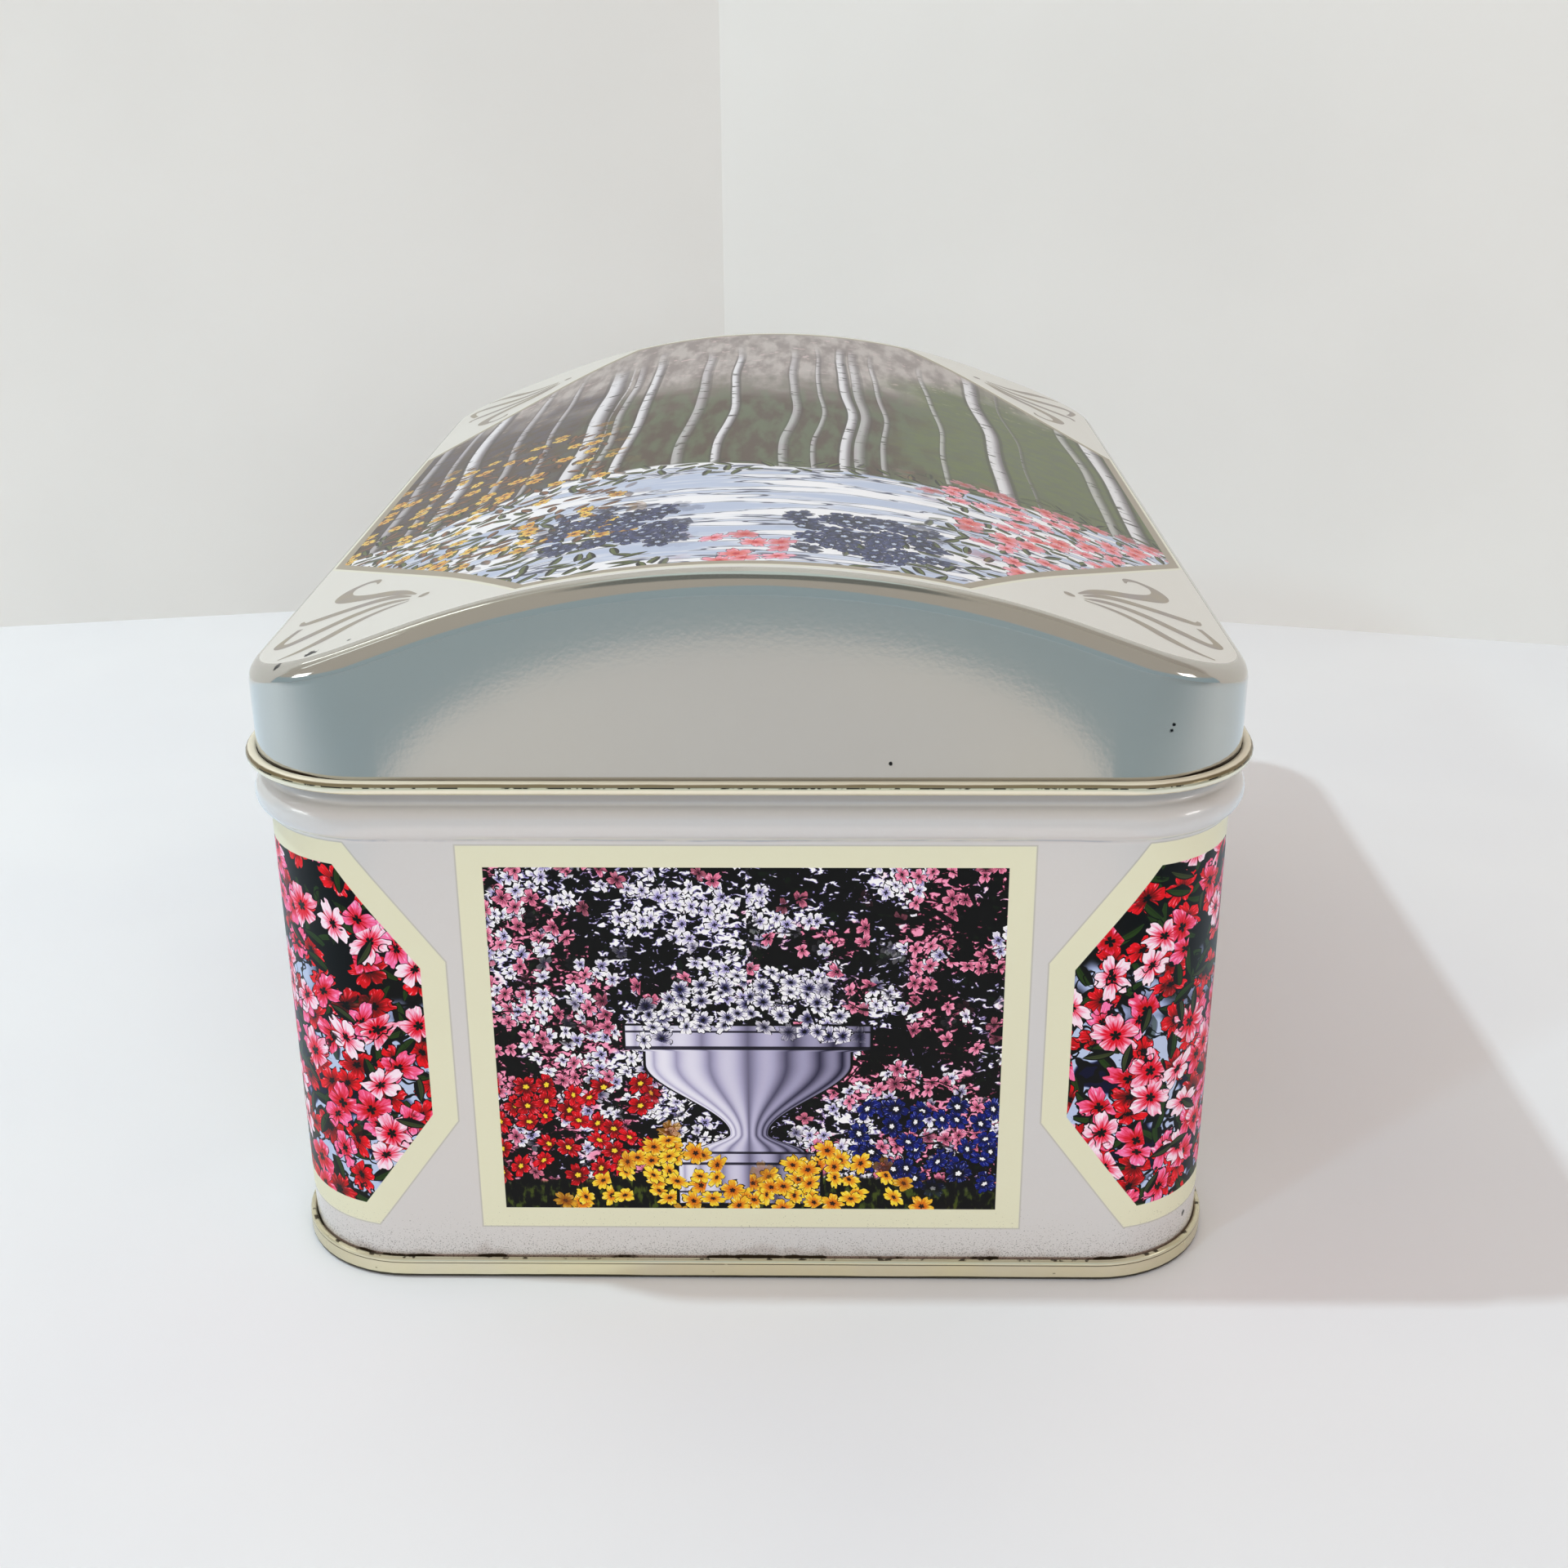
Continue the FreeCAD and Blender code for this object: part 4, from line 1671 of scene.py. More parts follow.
class SheetLine:
    """The middle line of a sheet in section, walked by runs and bends.

    Across is measured outwards and height upwards; a heading of 0 points outwards and 90 up.
    """

    support = 0.2
    bend_step = 11.25

    def __init__(self, across: float, height: float, heading: float, sheet: float = 0.25) -> None:
        """Starts at a raw end.

        Args:
            across: Where it starts, outwards.
            height: Where it starts, upwards.
            heading: Its first direction in degrees.
            sheet: Gauge of the sheet.
        """
        self.point = Vector((across, height))
        self.heading = math.radians(heading)
        self.sheet = sheet
        self.left: list[Vector] = []
        self.right: list[Vector] = []
        self._mark()

    def _aside(self, distance: float) -> Vector:
        """A step to the left of the heading."""
        return Vector((-math.sin(self.heading), math.cos(self.heading))) * distance

    def _mark(self) -> None:
        """Records both faces at the present place."""
        self.left.append(self.point + self._aside(self.sheet / 2))
        self.right.append(self.point - self._aside(self.sheet / 2))

    def run(self, length: float) -> SheetLine:
        """Walks straight, with a support near each end that keeps the shading flat.

        Args:
            length: Length of the run.

        Returns:
            This line.
        """
        start = self.point.copy()
        step = Vector((math.cos(self.heading), math.sin(self.heading)))
        near = min(self.support, length / 4)
        for reach in (near, length - near, length):
            self.point = start + step * reach
            self._mark()
        return self

    def bend(self, radius: float, angle: float) -> SheetLine:
        """Walks a round bend, to the left for a positive angle.

        Args:
            radius: Radius of the middle line.
            angle: Turn in degrees.

        Returns:
            This line.
        """
        hand = math.copysign(1.0, angle)
        centre = self.point + self._aside(hand * radius)
        steps = max(3, math.ceil(abs(angle) / self.bend_step))
        start = self.heading
        for step in range(1, steps + 1):
            self.heading = start + math.radians(angle) * step / steps
            self.point = centre - self._aside(hand * radius)
            self._mark()
        return self

    def outline(self, face: Face) -> Outline:
        """The section's outline from its start, up one face and back down the other.

        Args:
            face: Which face is on the left.

        Returns:
            Points with 1 for the inside face and 0 for the outside.
        """
        inside = 1.0 if face is Face.INSIDE_LEFT else 0.0
        up = [(place, inside) for place in self.left]
        return up + [(place, 1.0 - inside) for place in reversed(self.right)]


def curl_turn(radius: float, sheet: float, gap: float) -> float:
    """Degrees that a curl turns before it meets its own sheet.

    Args:
        radius: Outside radius of the curl.
        sheet: Gauge of the sheet.
        gap: Air left at the raw end.

    Returns:
        The turn in degrees.
    """
    return 360 - math.degrees(math.acos((radius - sheet - gap) / radius))


# Node groups

def add_object(name: str, data: bpy.types.ID) -> Object:
    """Adds an object to the scene.

    Args:
        name: Its name.
        data: Its mesh, lamp or camera.

    Returns:
        The object.
    """
    thing = bpy.data.objects.new(name, data)
    bpy.context.scene.collection.objects.link(thing)
    return thing


class NodeGroup:
    """A Geometry Nodes group with named inputs, run once on a mesh and turned into a plain mesh."""

    def __init__(self, name: str, inputs: dict[str, str]) -> None:
        """Starts a group.

        Args:
            name: Name of the group.
            inputs: Socket type of each input after the geometry, by name.
        """
        self.tree = bpy.data.node_groups.new(name, "GeometryNodeTree")
        face = self.tree.interface
        face.new_socket("Geometry", in_out="OUTPUT", socket_type="NodeSocketGeometry")
        face.new_socket("Geometry", in_out="INPUT", socket_type="NodeSocketGeometry")
        self.sockets = {label: face.new_socket(label, in_out="INPUT", socket_type=kind).identifier
                        for label, kind in inputs.items()}
        self.start = self.tree.nodes.new("NodeGroupInput")
        self.end = self.tree.nodes.new("NodeGroupOutput")

    def add(self, kind: str, *links: tuple[object, object], **settings: object) -> Node:
        """Adds a node.

        Args:
            kind: Node type.
            links: Pairs of an input's name or number and what feeds it, a socket or a plain value.
            settings: Properties to set on the node.

        Returns:
            The node.
        """
        node = self.tree.nodes.new(kind)
        for label, value in settings.items():
            setattr(node, label, value)
        for place, value in links:
            feed(self.tree, node.inputs[place], value)
        return node

    def given(self, label: str) -> NodeSocket:
        """The socket that brings in a named input."""
        return self.start.outputs[label]

    def run(self, name: str, mesh: Mesh, values: dict[str, object]) -> Object:
        """Applies the group to a mesh.

        Args:
            name: Name of the new object.
            mesh: What the group starts from.
            values: Input values by name.

        Returns:
            An object with a plain mesh.
        """
        thing = add_object(name, mesh)
        modifier = thing.modifiers.new(self.tree.name, "NODES")
        modifier.node_group = self.tree
        for label, value in values.items():
            modifier[self.sockets[label]] = value
        graph = bpy.context.evaluated_depsgraph_get()
        made = bpy.data.meshes.new_from_object(thing.evaluated_get(graph), depsgraph=graph)
        thing.modifiers.clear()
        thing.data = made
        made.name = name
        bpy.data.meshes.remove(mesh)
        return thing


class SheetSweep(NodeGroup):
    """Carries a sheet section round a rounded rectangle."""

    corner_steps = 14
    longest_step = 3.0

    def __init__(self) -> None:
        """Builds the group."""
        super().__init__("sheet_sweep", {
            "Width": "NodeSocketFloat", "Length": "NodeSocketFloat", "Corner Radius": "NodeSocketFloat",
            "Corner Steps": "NodeSocketInt", "Longest Step": "NodeSocketFloat",
            "Outside": "NodeSocketMaterial", "Inside": "NodeSocketMaterial"})
        box = self.add("GeometryNodeCurvePrimitiveQuadrilateral", ("Width", self.given("Width")),
                       ("Height", self.given("Length")))
        path = self.add("GeometryNodeFilletCurve", (0, box.outputs[0]), ("Count", self.given("Corner Steps")),
                        ("Radius", self.given("Corner Radius")), mode="POLY")
        here = self.add("GeometryNodeInputPosition").outputs[0]
        index = self.add("GeometryNodeInputIndex").outputs[0]
        following = self.add("GeometryNodeOffsetPointInCurve", (0, index), (1, 1))
        there = self.add("GeometryNodeFieldAtIndex", (0, here), (1, following.outputs["Point Index"]),
                         data_type="FLOAT_VECTOR")
        gap = self.add("ShaderNodeVectorMath", (0, here), (1, there.outputs[0]), operation="DISTANCE")
        cuts = self.add("ShaderNodeMath", (0, gap.outputs["Value"]), (1, self.given("Longest Step")),
                        operation="DIVIDE")
        fine = self.add("GeometryNodeSubdivideCurve", (0, path.outputs[0]), (1, cuts.outputs[0]))
        upright = self.add("GeometryNodeSetCurveNormal", (0, fine.outputs[0]), mode="Z_UP")
        section = self.add("GeometryNodeMeshToCurve", (0, self.given("Geometry")))
        skin = self.add("GeometryNodeCurveToMesh", ("Curve", upright.outputs[0]),
                        ("Profile Curve", section.outputs[0]))
        smooth = self.add("GeometryNodeSetShadeSmooth", (0, skin.outputs[0]))
        real = self.add("GeometryNodeRealizeInstances", (0, smooth.outputs[0]))
        outside = self.add("GeometryNodeSetMaterial", (0, real.outputs[0]),
                           ("Material", self.given("Outside")))
        flag = self.add("GeometryNodeInputNamedAttribute", ("Name", "inside"), data_type="FLOAT")
        chosen = self.add("FunctionNodeCompare", (0, flag.outputs[0]), (1, 0.5), data_type="FLOAT",
                          operation="GREATER_THAN")
        inside = self.add("GeometryNodeSetMaterial", (0, outside.outputs[0]),
                          ("Selection", chosen.outputs[0]), ("Material", self.given("Inside")))
        self.tree.links.new(inside.outputs[0], self.end.inputs[0])

    def carry(self, name: str, outline: Outline, closed: bool, plan: Triple, outside: Material,
              inside: Material) -> Object:
        """Makes a piece from a section.

        Args:
            name: Name of the piece.
            outline: Section points with 1 for the inside face and 0 for the outside.
            closed: Whether the outline closes on itself.
            plan: Width, length and corner radius of the outline that across is measured from.
            outside: Finish of the outside face.
            inside: Finish of the inside face.

        Returns:
            The piece.
        """
        count = len(outline)
        edges = [(i, (i + 1) % count) for i in range(count if closed else count - 1)]
        mesh = bpy.data.meshes.new(name + "_section")
        mesh.from_pydata([(place.x * MM, -place.y * MM, 0.0) for place, _ in outline], edges, [])
        flags = mesh.attributes.new("inside", "FLOAT", "POINT")
        for item, (_, flag) in zip(flags.data, outline):
            item.value = flag
        width, length, radius = plan
        return self.run(name, mesh, {
            "Width": width * MM, "Length": length * MM, "Corner Radius": radius * MM,
            "Corner Steps": self.corner_steps, "Longest Step": self.longest_step * MM,
            "Outside": outside, "Inside": inside})


class Flourish(NodeGroup):
    """Turns pen strokes into flat tapered ribbons on the lid's four shoulders."""

    def __init__(self) -> None:
        """Builds the group."""
        super().__init__("flourish", {
            "Eave Height": "NodeSocketFloat", "Half Width": "NodeSocketFloat", "Slope": "NodeSocketFloat",
            "Lift": "NodeSocketFloat", "Step": "NodeSocketFloat", "Ink": "NodeSocketMaterial"})
        strokes = self.add("GeometryNodeMeshToCurve", (0, self.given("Geometry")))
        flowing = self.add("GeometryNodeCurveSplineType", (0, strokes.outputs[0]), spline_type="CATMULL_ROM")
        fine = self.add("GeometryNodeResampleCurve", (0, flowing.outputs[0]), ("Length", self.given("Step")),
                        mode="LENGTH")
        upright = self.add("GeometryNodeSetCurveNormal", (0, fine.outputs[0]), mode="Z_UP")
        nib = self.add("GeometryNodeCurvePrimitiveLine", (0, (-1.0, 0.0, 0.0)), (1, (1.0, 0.0, 0.0)))
        weight = self.add("GeometryNodeInputNamedAttribute", ("Name", "weight"), data_type="FLOAT")
        ribbon = self.add("GeometryNodeCurveToMesh", ("Curve", upright.outputs[0]),
                          ("Profile Curve", nib.outputs[0]), ("Scale", weight.outputs[0]))
        all_four = self.add("GeometryNodeJoinGeometry")
        for scale in ((1, 1, 1), (-1, 1, 1), (1, -1, 1), (-1, -1, 1)):
            copy = self.add("GeometryNodeTransform", (0, ribbon.outputs[0]), ("Scale", scale))
            last = copy
            if scale[0] * scale[1] < 0:
                last = self.add("GeometryNodeFlipFaces", (0, copy.outputs[0]))
            self.tree.links.new(last.outputs[0], all_four.inputs[0])
        place = self.add("GeometryNodeInputPosition")
        split = self.add("ShaderNodeSeparateXYZ", (0, place.outputs[0]))
        across = self.add("ShaderNodeMath", (0, split.outputs[0]), operation="ABSOLUTE")
        inwards = self.add("ShaderNodeMath", (0, self.given("Half Width")), (1, across.outputs[0]),
                           operation="SUBTRACT")
        rise = self.add("ShaderNodeMath", (0, inwards.outputs[0]), (1, self.given("Slope")),
                        (2, self.given("Eave Height")), operation="MULTIPLY_ADD")
        height = self.add("ShaderNodeMath", (0, rise.outputs[0]), (1, self.given("Lift")), operation="ADD")
        spot = self.add("ShaderNodeCombineXYZ", (0, split.outputs[0]), (1, split.outputs[1]),
                        (2, height.outputs[0]))
        laid = self.add("GeometryNodeSetPosition", (0, all_four.outputs[0]), ("Position", spot.outputs[0]))
        real = self.add("GeometryNodeRealizeInstances", (0, laid.outputs[0]))
        inked = self.add("GeometryNodeSetMaterial", (0, real.outputs[0]), ("Material", self.given("Ink")))
        self.tree.links.new(inked.outputs[0], self.end.inputs[0])


# Pieces

def settle(thing: Object, sharp: float = 50.0) -> Object:
    """Points a closed piece's faces outwards and shades it smooth up to an angle.

    Args:
        thing: The piece.
        sharp: Angle in degrees past which an edge stays sharp.

    Returns:
        The piece.
    """
    work = bmesh.new()
    work.from_mesh(thing.data)
    bmesh.ops.remove_doubles(work, verts=work.verts, dist=TOUCH)
    bmesh.ops.recalc_face_normals(work, faces=work.faces)
    for face in work.faces:
        face.smooth = True
    work.to_mesh(thing.data)
    work.free()
    thing.data.set_sharp_from_angle(angle=math.radians(sharp))
    log.info("%s: %d faces", thing.name, len(thing.data.polygons))
    return thing


@dataclass
class Tin:
    """Sizes of the whole box that its pieces share, in millimetres."""

    sheet: float = 0.25
    fold_gap: float = 0.02
    hook_end_gap: float = 0.12
    curl_gap: float = 0.05
    width: float = 108.4
    length: float = 153.4
    corner_radius: float = 13.5
    seam_height: float = 2.6
    lid_offset: float = 0.8
    eave_height: float = 72.75
    shoulder: float = math.radians(20.0)
    edge_radius: float = 2.5

    @property
    def fold_radius(self) -> float:
        """Middle of a fold that holds one layer."""
        return self.sheet + self.fold_gap

    @property
    def fold_outside(self) -> float:
        """Outside of that fold."""
        return self.fold_radius + self.sheet / 2

    @property
    def seam_fold_centre(self) -> float:
        """Height of the seam's upper fold."""
        return self.seam_height - self.fold_outside

    @property
    def body_fold_centre(self) -> float:
        """Height of the body's hooked fold."""
        return self.sheet + self.fold_gap + self.fold_outside

    @property
    def plan(self) -> Triple:
        """Outline of the body's walls."""
        return (self.width, self.length, self.corner_radius)


@dataclass
class BodyWall:
    """The wrapped body: hooked foot, wall with its lock seam, stop bead and rolled rim."""

    tin: Tin
    bead_centre: float = 58.3
    bead_height: float = 5.2
    bead_depth: float = 1.5
    bead_foot_radius: float = 0.9
    rim_radius: float = 0.75
    seat_gap: float = 0.2
    lock_low: float = 4.95
    lock_high: float = 53.9
    lock_fade: float = 0.5
    end_zone: float = 32.3
    side_zone: float = 54.8
    lock_margin: float = 0.5
    groove: tuple[Point, ...] = (
        (1.3, 0.0), (1.5, 0.0), (1.68, 0.06), (1.82, 0.18), (1.89, 0.36), (1.95, 0.5),
        (2.1, 0.44), (2.3, 0.32), (2.5, 0.17), (2.7, 0.05), (2.9, 0.0), (3.1, 0.0))
    ridge: tuple[Point, ...] = (
        (-2.3, 0.0), (-1.9, 0.0), (-1.88, 0.45), (-1.78, 0.7), (-1.55, 0.81), (1.5, 0.81),
        (1.75, 0.75), (2.1, 0.52), (2.4, 0.24), (2.7, 0.05), (2.95, 0.0), (3.2, 0.0))

    def rim_centre(self) -> float:
        """Height of the rolled rim's centre, where it carries the rounded eaves of the lid.

        Returns:
            The height in millimetres.
        """
        tin = self.tin
        shoulder_height = tin.eave_height + tin.edge_radius * math.tan(tin.shoulder)
        round_centre = shoulder_height - tin.edge_radius / math.cos(tin.shoulder)
        reach = tin.edge_radius - tin.sheet - self.rim_radius - self.seat_gap
        across = tin.edge_radius - tin.lid_offset - self.rim_radius
        return round_centre + math.sqrt(reach ** 2 - across ** 2)

    def section(self) -> Outline:
        """Outline of the sheet from its hooked foot to its rolled rim.

        Returns:
            Points with 1 for the inside face and 0 for the outside.
        """
        tin = self.tin
        hook_top = tin.seam_fold_centre - tin.hook_end_gap
        turn = 2 * math.degrees(math.atan(2 * self.bead_depth / self.bead_height))
        reach = self.bead_height / 2 / math.sin(math.radians(turn))
        foot = self.bead_centre - self.bead_height / 2
        line = SheetLine(2 * tin.fold_radius - tin.sheet / 2, hook_top, -90, tin.sheet)
        line.run(hook_top - tin.body_fold_centre).bend(tin.fold_radius, -180).run(foot - tin.body_fold_centre)
        line.bend(self.bead_foot_radius, -turn).bend(reach - self.bead_foot_radius, 2 * turn)
        line.bend(self.bead_foot_radius, -turn).run(self.rim_centre() - foot - self.bead_height)
        line.bend(self.rim_radius - tin.sheet / 2, curl_turn(self.rim_radius, tin.sheet, tin.curl_gap))
        return line.outline(Face.INSIDE_LEFT)

    def build(self, sweep: SheetSweep, prints: dict[Zone, Material],
              inside: Material) -> Object:
        """Makes the piece.

        Args:
            sweep: Group that carries the section round.
            prints: Printed finish of each zone of the outside.
            inside: Lacquered finish.

        Returns:
            The piece.
        """
        wall = sweep.carry("body_wall_look", self.section(), True, self.tin.plan, prints[Zone.CORNER], inside)
        self.lock(wall)
        self.dress(wall, prints)
        return settle(wall)

    def dress(self, wall: Object, prints: dict[Zone, Material]) -> None:
        """Gives the faces of the flat zones their own print.

        Args:
            wall: The swept wall, all of its outside in the corner print.
            prints: Printed finish of each zone.
        """
        slots = {material.name: index for index, material in enumerate(wall.data.materials)}
        for zone in (Zone.END, Zone.SIDE):
            slots[prints[zone].name] = len(wall.data.materials)
            wall.data.materials.append(prints[zone])
        outside = slots[prints[Zone.CORNER].name]
        work = bmesh.new()
        work.from_mesh(wall.data)
        for edge_at, axis in ((self.end_zone, (1, 0, 0)), (self.side_zone, (0, 1, 0))):
            for hand in (-1, 1):
                everything = [*work.verts, *work.edges, *work.faces]
                place = [hand * edge_at * MM * part for part in axis]
                bmesh.ops.bisect_plane(work, geom=everything, plane_co=place, plane_no=axis, dist=TOUCH)
        for face in work.faces:
            middle = face.calc_center_median() / MM
            if face.material_index == outside and abs(middle.x) < self.end_zone:
                face.material_index = slots[prints[Zone.END].name]
            elif face.material_index == outside and abs(middle.y) < self.side_zone:
                face.material_index = slots[prints[Zone.SIDE].name]
        work.to_mesh(wall.data)
        work.free()

    def lock(self, wall: Object) -> None:
        """Presses the lock seam into the middle of the back wall.

        Args:
            wall: The swept wall.
        """
        work = bmesh.new()
        work.from_mesh(wall.data)
        face_at = self.tin.width / 2
        margin = self.lock_margin
        cuts = sorted({along for along, _ in self.groove + self.ridge})
        levels = (self.lock_low, self.lock_low + self.lock_fade,
                  self.lock_high - self.lock_fade, self.lock_high)

        def near() -> list[object]:
            """Faces, edges and vertices of the back wall round the seam."""
            faces = [face for face in work.faces
                     if all(vert.co.x > (face_at - 2 * margin) * MM for vert in face.verts)
                     and min(vert.co.y for vert in face.verts) < (cuts[-1] + margin) * MM
                     and max(vert.co.y for vert in face.verts) > (cuts[0] - margin) * MM
                     and max(vert.co.z for vert in face.verts) > self.lock_low * MM
                     and min(vert.co.z for vert in face.verts) < self.lock_high * MM]
            edges = {edge for face in faces for edge in face.edges}
            verts = {vert for face in faces for vert in face.verts}
            return [*verts, *edges, *faces]

        planes = [((0, along * MM, 0), (0, 1, 0)) for along in cuts]
        planes += [((0, 0, level * MM), (0, 0, 1)) for level in levels]
        for place, normal in planes:
            bmesh.ops.bisect_plane(work, geom=near(), plane_co=place, plane_no=normal, dist=TOUCH)
        for vert in work.verts:
            across, along, height = (part / MM for part in vert.co)
            if across < face_at - margin or abs(along) > cuts[-1] + margin:
                continue
            share = min(height - self.lock_low, self.lock_high - height) / self.lock_fade
            outer = across > face_at - self.tin.sheet / 2
            press = level_at(self.groove if outer else self.ridge, along)
            vert.co.x -= press * max(0.0, min(1.0, share)) * MM
        work.to_mesh(wall.data)
        work.free()


def level_at(profile: Sequence[Point], place: float) -> float:
    """Height of a profile of straight pieces at a place, nothing beyond its ends.

    Args:
        profile: Places and heights in order.
        place: Where to look.

    Returns:
        The height there.
    """
    for (low, first), (high, second) in zip(profile, profile[1:]):
        if low <= place <= high:
            return first + (second - first) * (place - low) / (high - low)
    return 0.0


@dataclass
class BasePlate:
    """The countersunk plate with its edge rolled round the body's flange."""

    tin: Tin
    bend_radius: float = 0.4
    panel_height: float = 3.4
    panel_bend: float = 0.8
    border: float = 5.0
    step: float = 0.7
    step_angle: float = 40.0
    inner_border: float = 1.0

    def section(self) -> Outline:
        """Outline of the sheet from its hook to the middle panel, open at the panel.

        Returns:
            Points with 1 for the inside face and 0 for the outside.
        """
        tin = self.tin
        lower = self.bend_radius - tin.sheet / 2
        hook = tin.body_fold_centre + tin.hook_end_gap
        step_radius = self.step / (2 * (1 - math.cos(math.radians(self.step_angle))))
        line = SheetLine(tin.fold_gap + tin.sheet / 2, hook, 90, tin.sheet)
        line.run(tin.seam_fold_centre - hook).bend(tin.fold_radius, -180)
        line.run(tin.seam_fold_centre - self.bend_radius).bend(lower, -90)
        line.run(4 * tin.fold_radius - 2 * lower).bend(lower, -90)
        line.run(self.panel_height + tin.sheet / 2 - self.panel_bend - self.bend_radius)
        line.bend(self.panel_bend, 90)
        line.run(self.border).bend(step_radius, -self.step_angle).bend(step_radius, self.step_angle)
        line.run(self.inner_border)
        down = [(place, 0.0) for place in reversed(line.left)]
        return down + [(place, 1.0) for place in line.right]

    def build(self, sweep: SheetSweep, outside: Material, inside: Material) -> Object:
        """Makes the piece.

        Args:
            sweep: Group that carries the section round.
            outside: Finish of the seam and the underside.
            inside: Finish of the floor inside the box.

        Returns:
            The piece.
        """
        plate = sweep.carry("base_plate_look", self.section(), False, self.tin.plan, outside, inside)
        work = bmesh.new()
        work.from_mesh(plate.data)
        rim = [edge for edge in work.edges if edge.is_boundary]
        filled = bmesh.ops.edgeloop_fill(work, edges=rim)
        top = max(face.calc_center_median().z for face in filled["faces"])
        slots = {material.name: index for index, material in enumerate(plate.data.materials)}
        for face in filled["faces"]:
            upper = face.calc_center_median().z > top - MM * self.tin.sheet / 2
            face.material_index = slots[(inside if upper else outside).name]
        work.to_mesh(plate.data)
        work.free()
        return settle(plate)


@dataclass
class LidShell:
    """The drawn lid: crown, sloping shoulders, rounded edges, skirt and outward curl."""

    tin: Tin
    crown_radius: float = 104.0
    curl_radius: float = 0.76
    curl_centre: float = 62.81
    arc_steps: int = 8
    corner_steps: int = 14
    end_steps: int = 40
    side_steps: int = 52

    @property
    def half_width(self) -> float:
        """Half of the outside width."""
        return self.tin.width / 2 + self.tin.lid_offset

    @property
    def half_length(self) -> float:
        """Half of the outside length."""
        return self.tin.length / 2 + self.tin.lid_offset

    @property
    def corner_radius(self) -> float:
        """Outside radius of a corner in plan."""
        return self.tin.corner_radius + self.tin.lid_offset

    def crown_height(self, across: float, inset: float) -> float:
        """Height of the top, or of its underside, at a distance from the middle.

        Args:
            across: Distance from the middle line.
            inset: 0 for the outside, the gauge for the inside.

        Returns:
            The height in millimetres.
        """
        slope = self.tin.shoulder
        radius = self.crown_radius
        run = radius * math.sin(slope)
        crest = self.tin.eave_height + radius * (1 - math.cos(slope))
        crest += (self.half_width - run) * math.tan(slope)
        radius -= inset
        run = radius * math.sin(slope)
        centre = crest - self.crown_radius
        if abs(across) <= run:
            return centre + math.sqrt(radius ** 2 - across ** 2)
        return centre + radius * math.cos(slope) - (abs(across) - run) * math.tan(slope)

    def stations(self) -> list[tuple[Vector, Vector]]:
        """Places round the outline, counter-clockwise from the left front.

        Returns:
            Each place with its outward direction.
        """
        inner_x = self.half_width - self.corner_radius
        inner_y = self.half_length - self.corner_radius
        places: list[tuple[Vector, Vector]] = []
        centres = [(-inner_x, -inner_y), (inner_x, -inner_y), (inner_x, inner_y), (-inner_x, inner_y)]
        for corner, centre in enumerate(centres):
            for step in range(self.corner_steps):
                angle = math.pi * (1 + corner / 2 + step / self.corner_steps / 2)
                out = Vector((math.cos(angle), math.sin(angle)))
                places.append((Vector(centre) + out * self.corner_radius, out))
            angle = math.pi * (1.5 + corner / 2)
            out = Vector((math.cos(angle), math.sin(angle)))
            start = Vector(centre) + out * self.corner_radius
            end = Vector(centres[(corner + 1) % 4]) + out * self.corner_radius
            steps = self.side_steps if corner % 2 else self.end_steps
            places += [(start.lerp(end, step / steps), out) for step in range(steps)]
        return places

    def eave(self, place: Vector, out: Vector, inset: float) -> list[Vector]:
        """The rounded edge at one station, from the top down to the wall.

        Args:
            place: Station on the outside outline.
            out: Outward direction there.
            inset: 0 for the outside, the gauge for the inside.

        Returns:
            Points as distance outwards from the station and height.
        """
        wall = place - out * inset
        slope = math.atan(math.tan(self.tin.shoulder) * abs(out.x)) if abs(out.x) > 1e-6 else 0.0
        radius = self.tin.edge_radius - inset
        tangent = radius * math.tan((math.pi / 2 - slope) / 2)
        centre = Vector((-inset - radius, self.crown_height(wall.x, inset) - tangent))
        turns = [(math.pi / 2 - slope) * (1 - step / self.arc_steps) for step in range(self.arc_steps + 1)]
        return [centre + Vector((math.cos(turn), math.sin(turn))) * radius for turn in turns]

    def section(self, place: Vector, out: Vector) -> tuple[list[Vector], int]:
        """The whole sheet at one station, outside first and back up the inside.

        Args:
            place: Station on the outside outline.
            out: Outward direction there.

        Returns:
            The points, and how many of them belong to the outside.
        """
        tin = self.tin
        curl = SheetLine(-tin.sheet / 2, self.curl_centre, -90, tin.sheet)
        curl.bend(self.curl_radius - tin.sheet / 2, curl_turn(self.curl_radius, tin.sheet, tin.curl_gap))
        outer = self.eave(place, out, 0.0)
        inner = self.eave(place, out, tin.sheet)
        support = SheetLine.support

        def skirt(top: Vector, foot: Vector) -> list[Vector]:
            """Supports between the rounding and the curl."""
            return [top - Vector((0, support)), foot + Vector((0, support))]

        outside = outer + skirt(outer[-1], curl.left[0]) + curl.left
        inside = inner + skirt(inner[-1], curl.right[0]) + curl.right
        return outside + inside[::-1], len(outside)

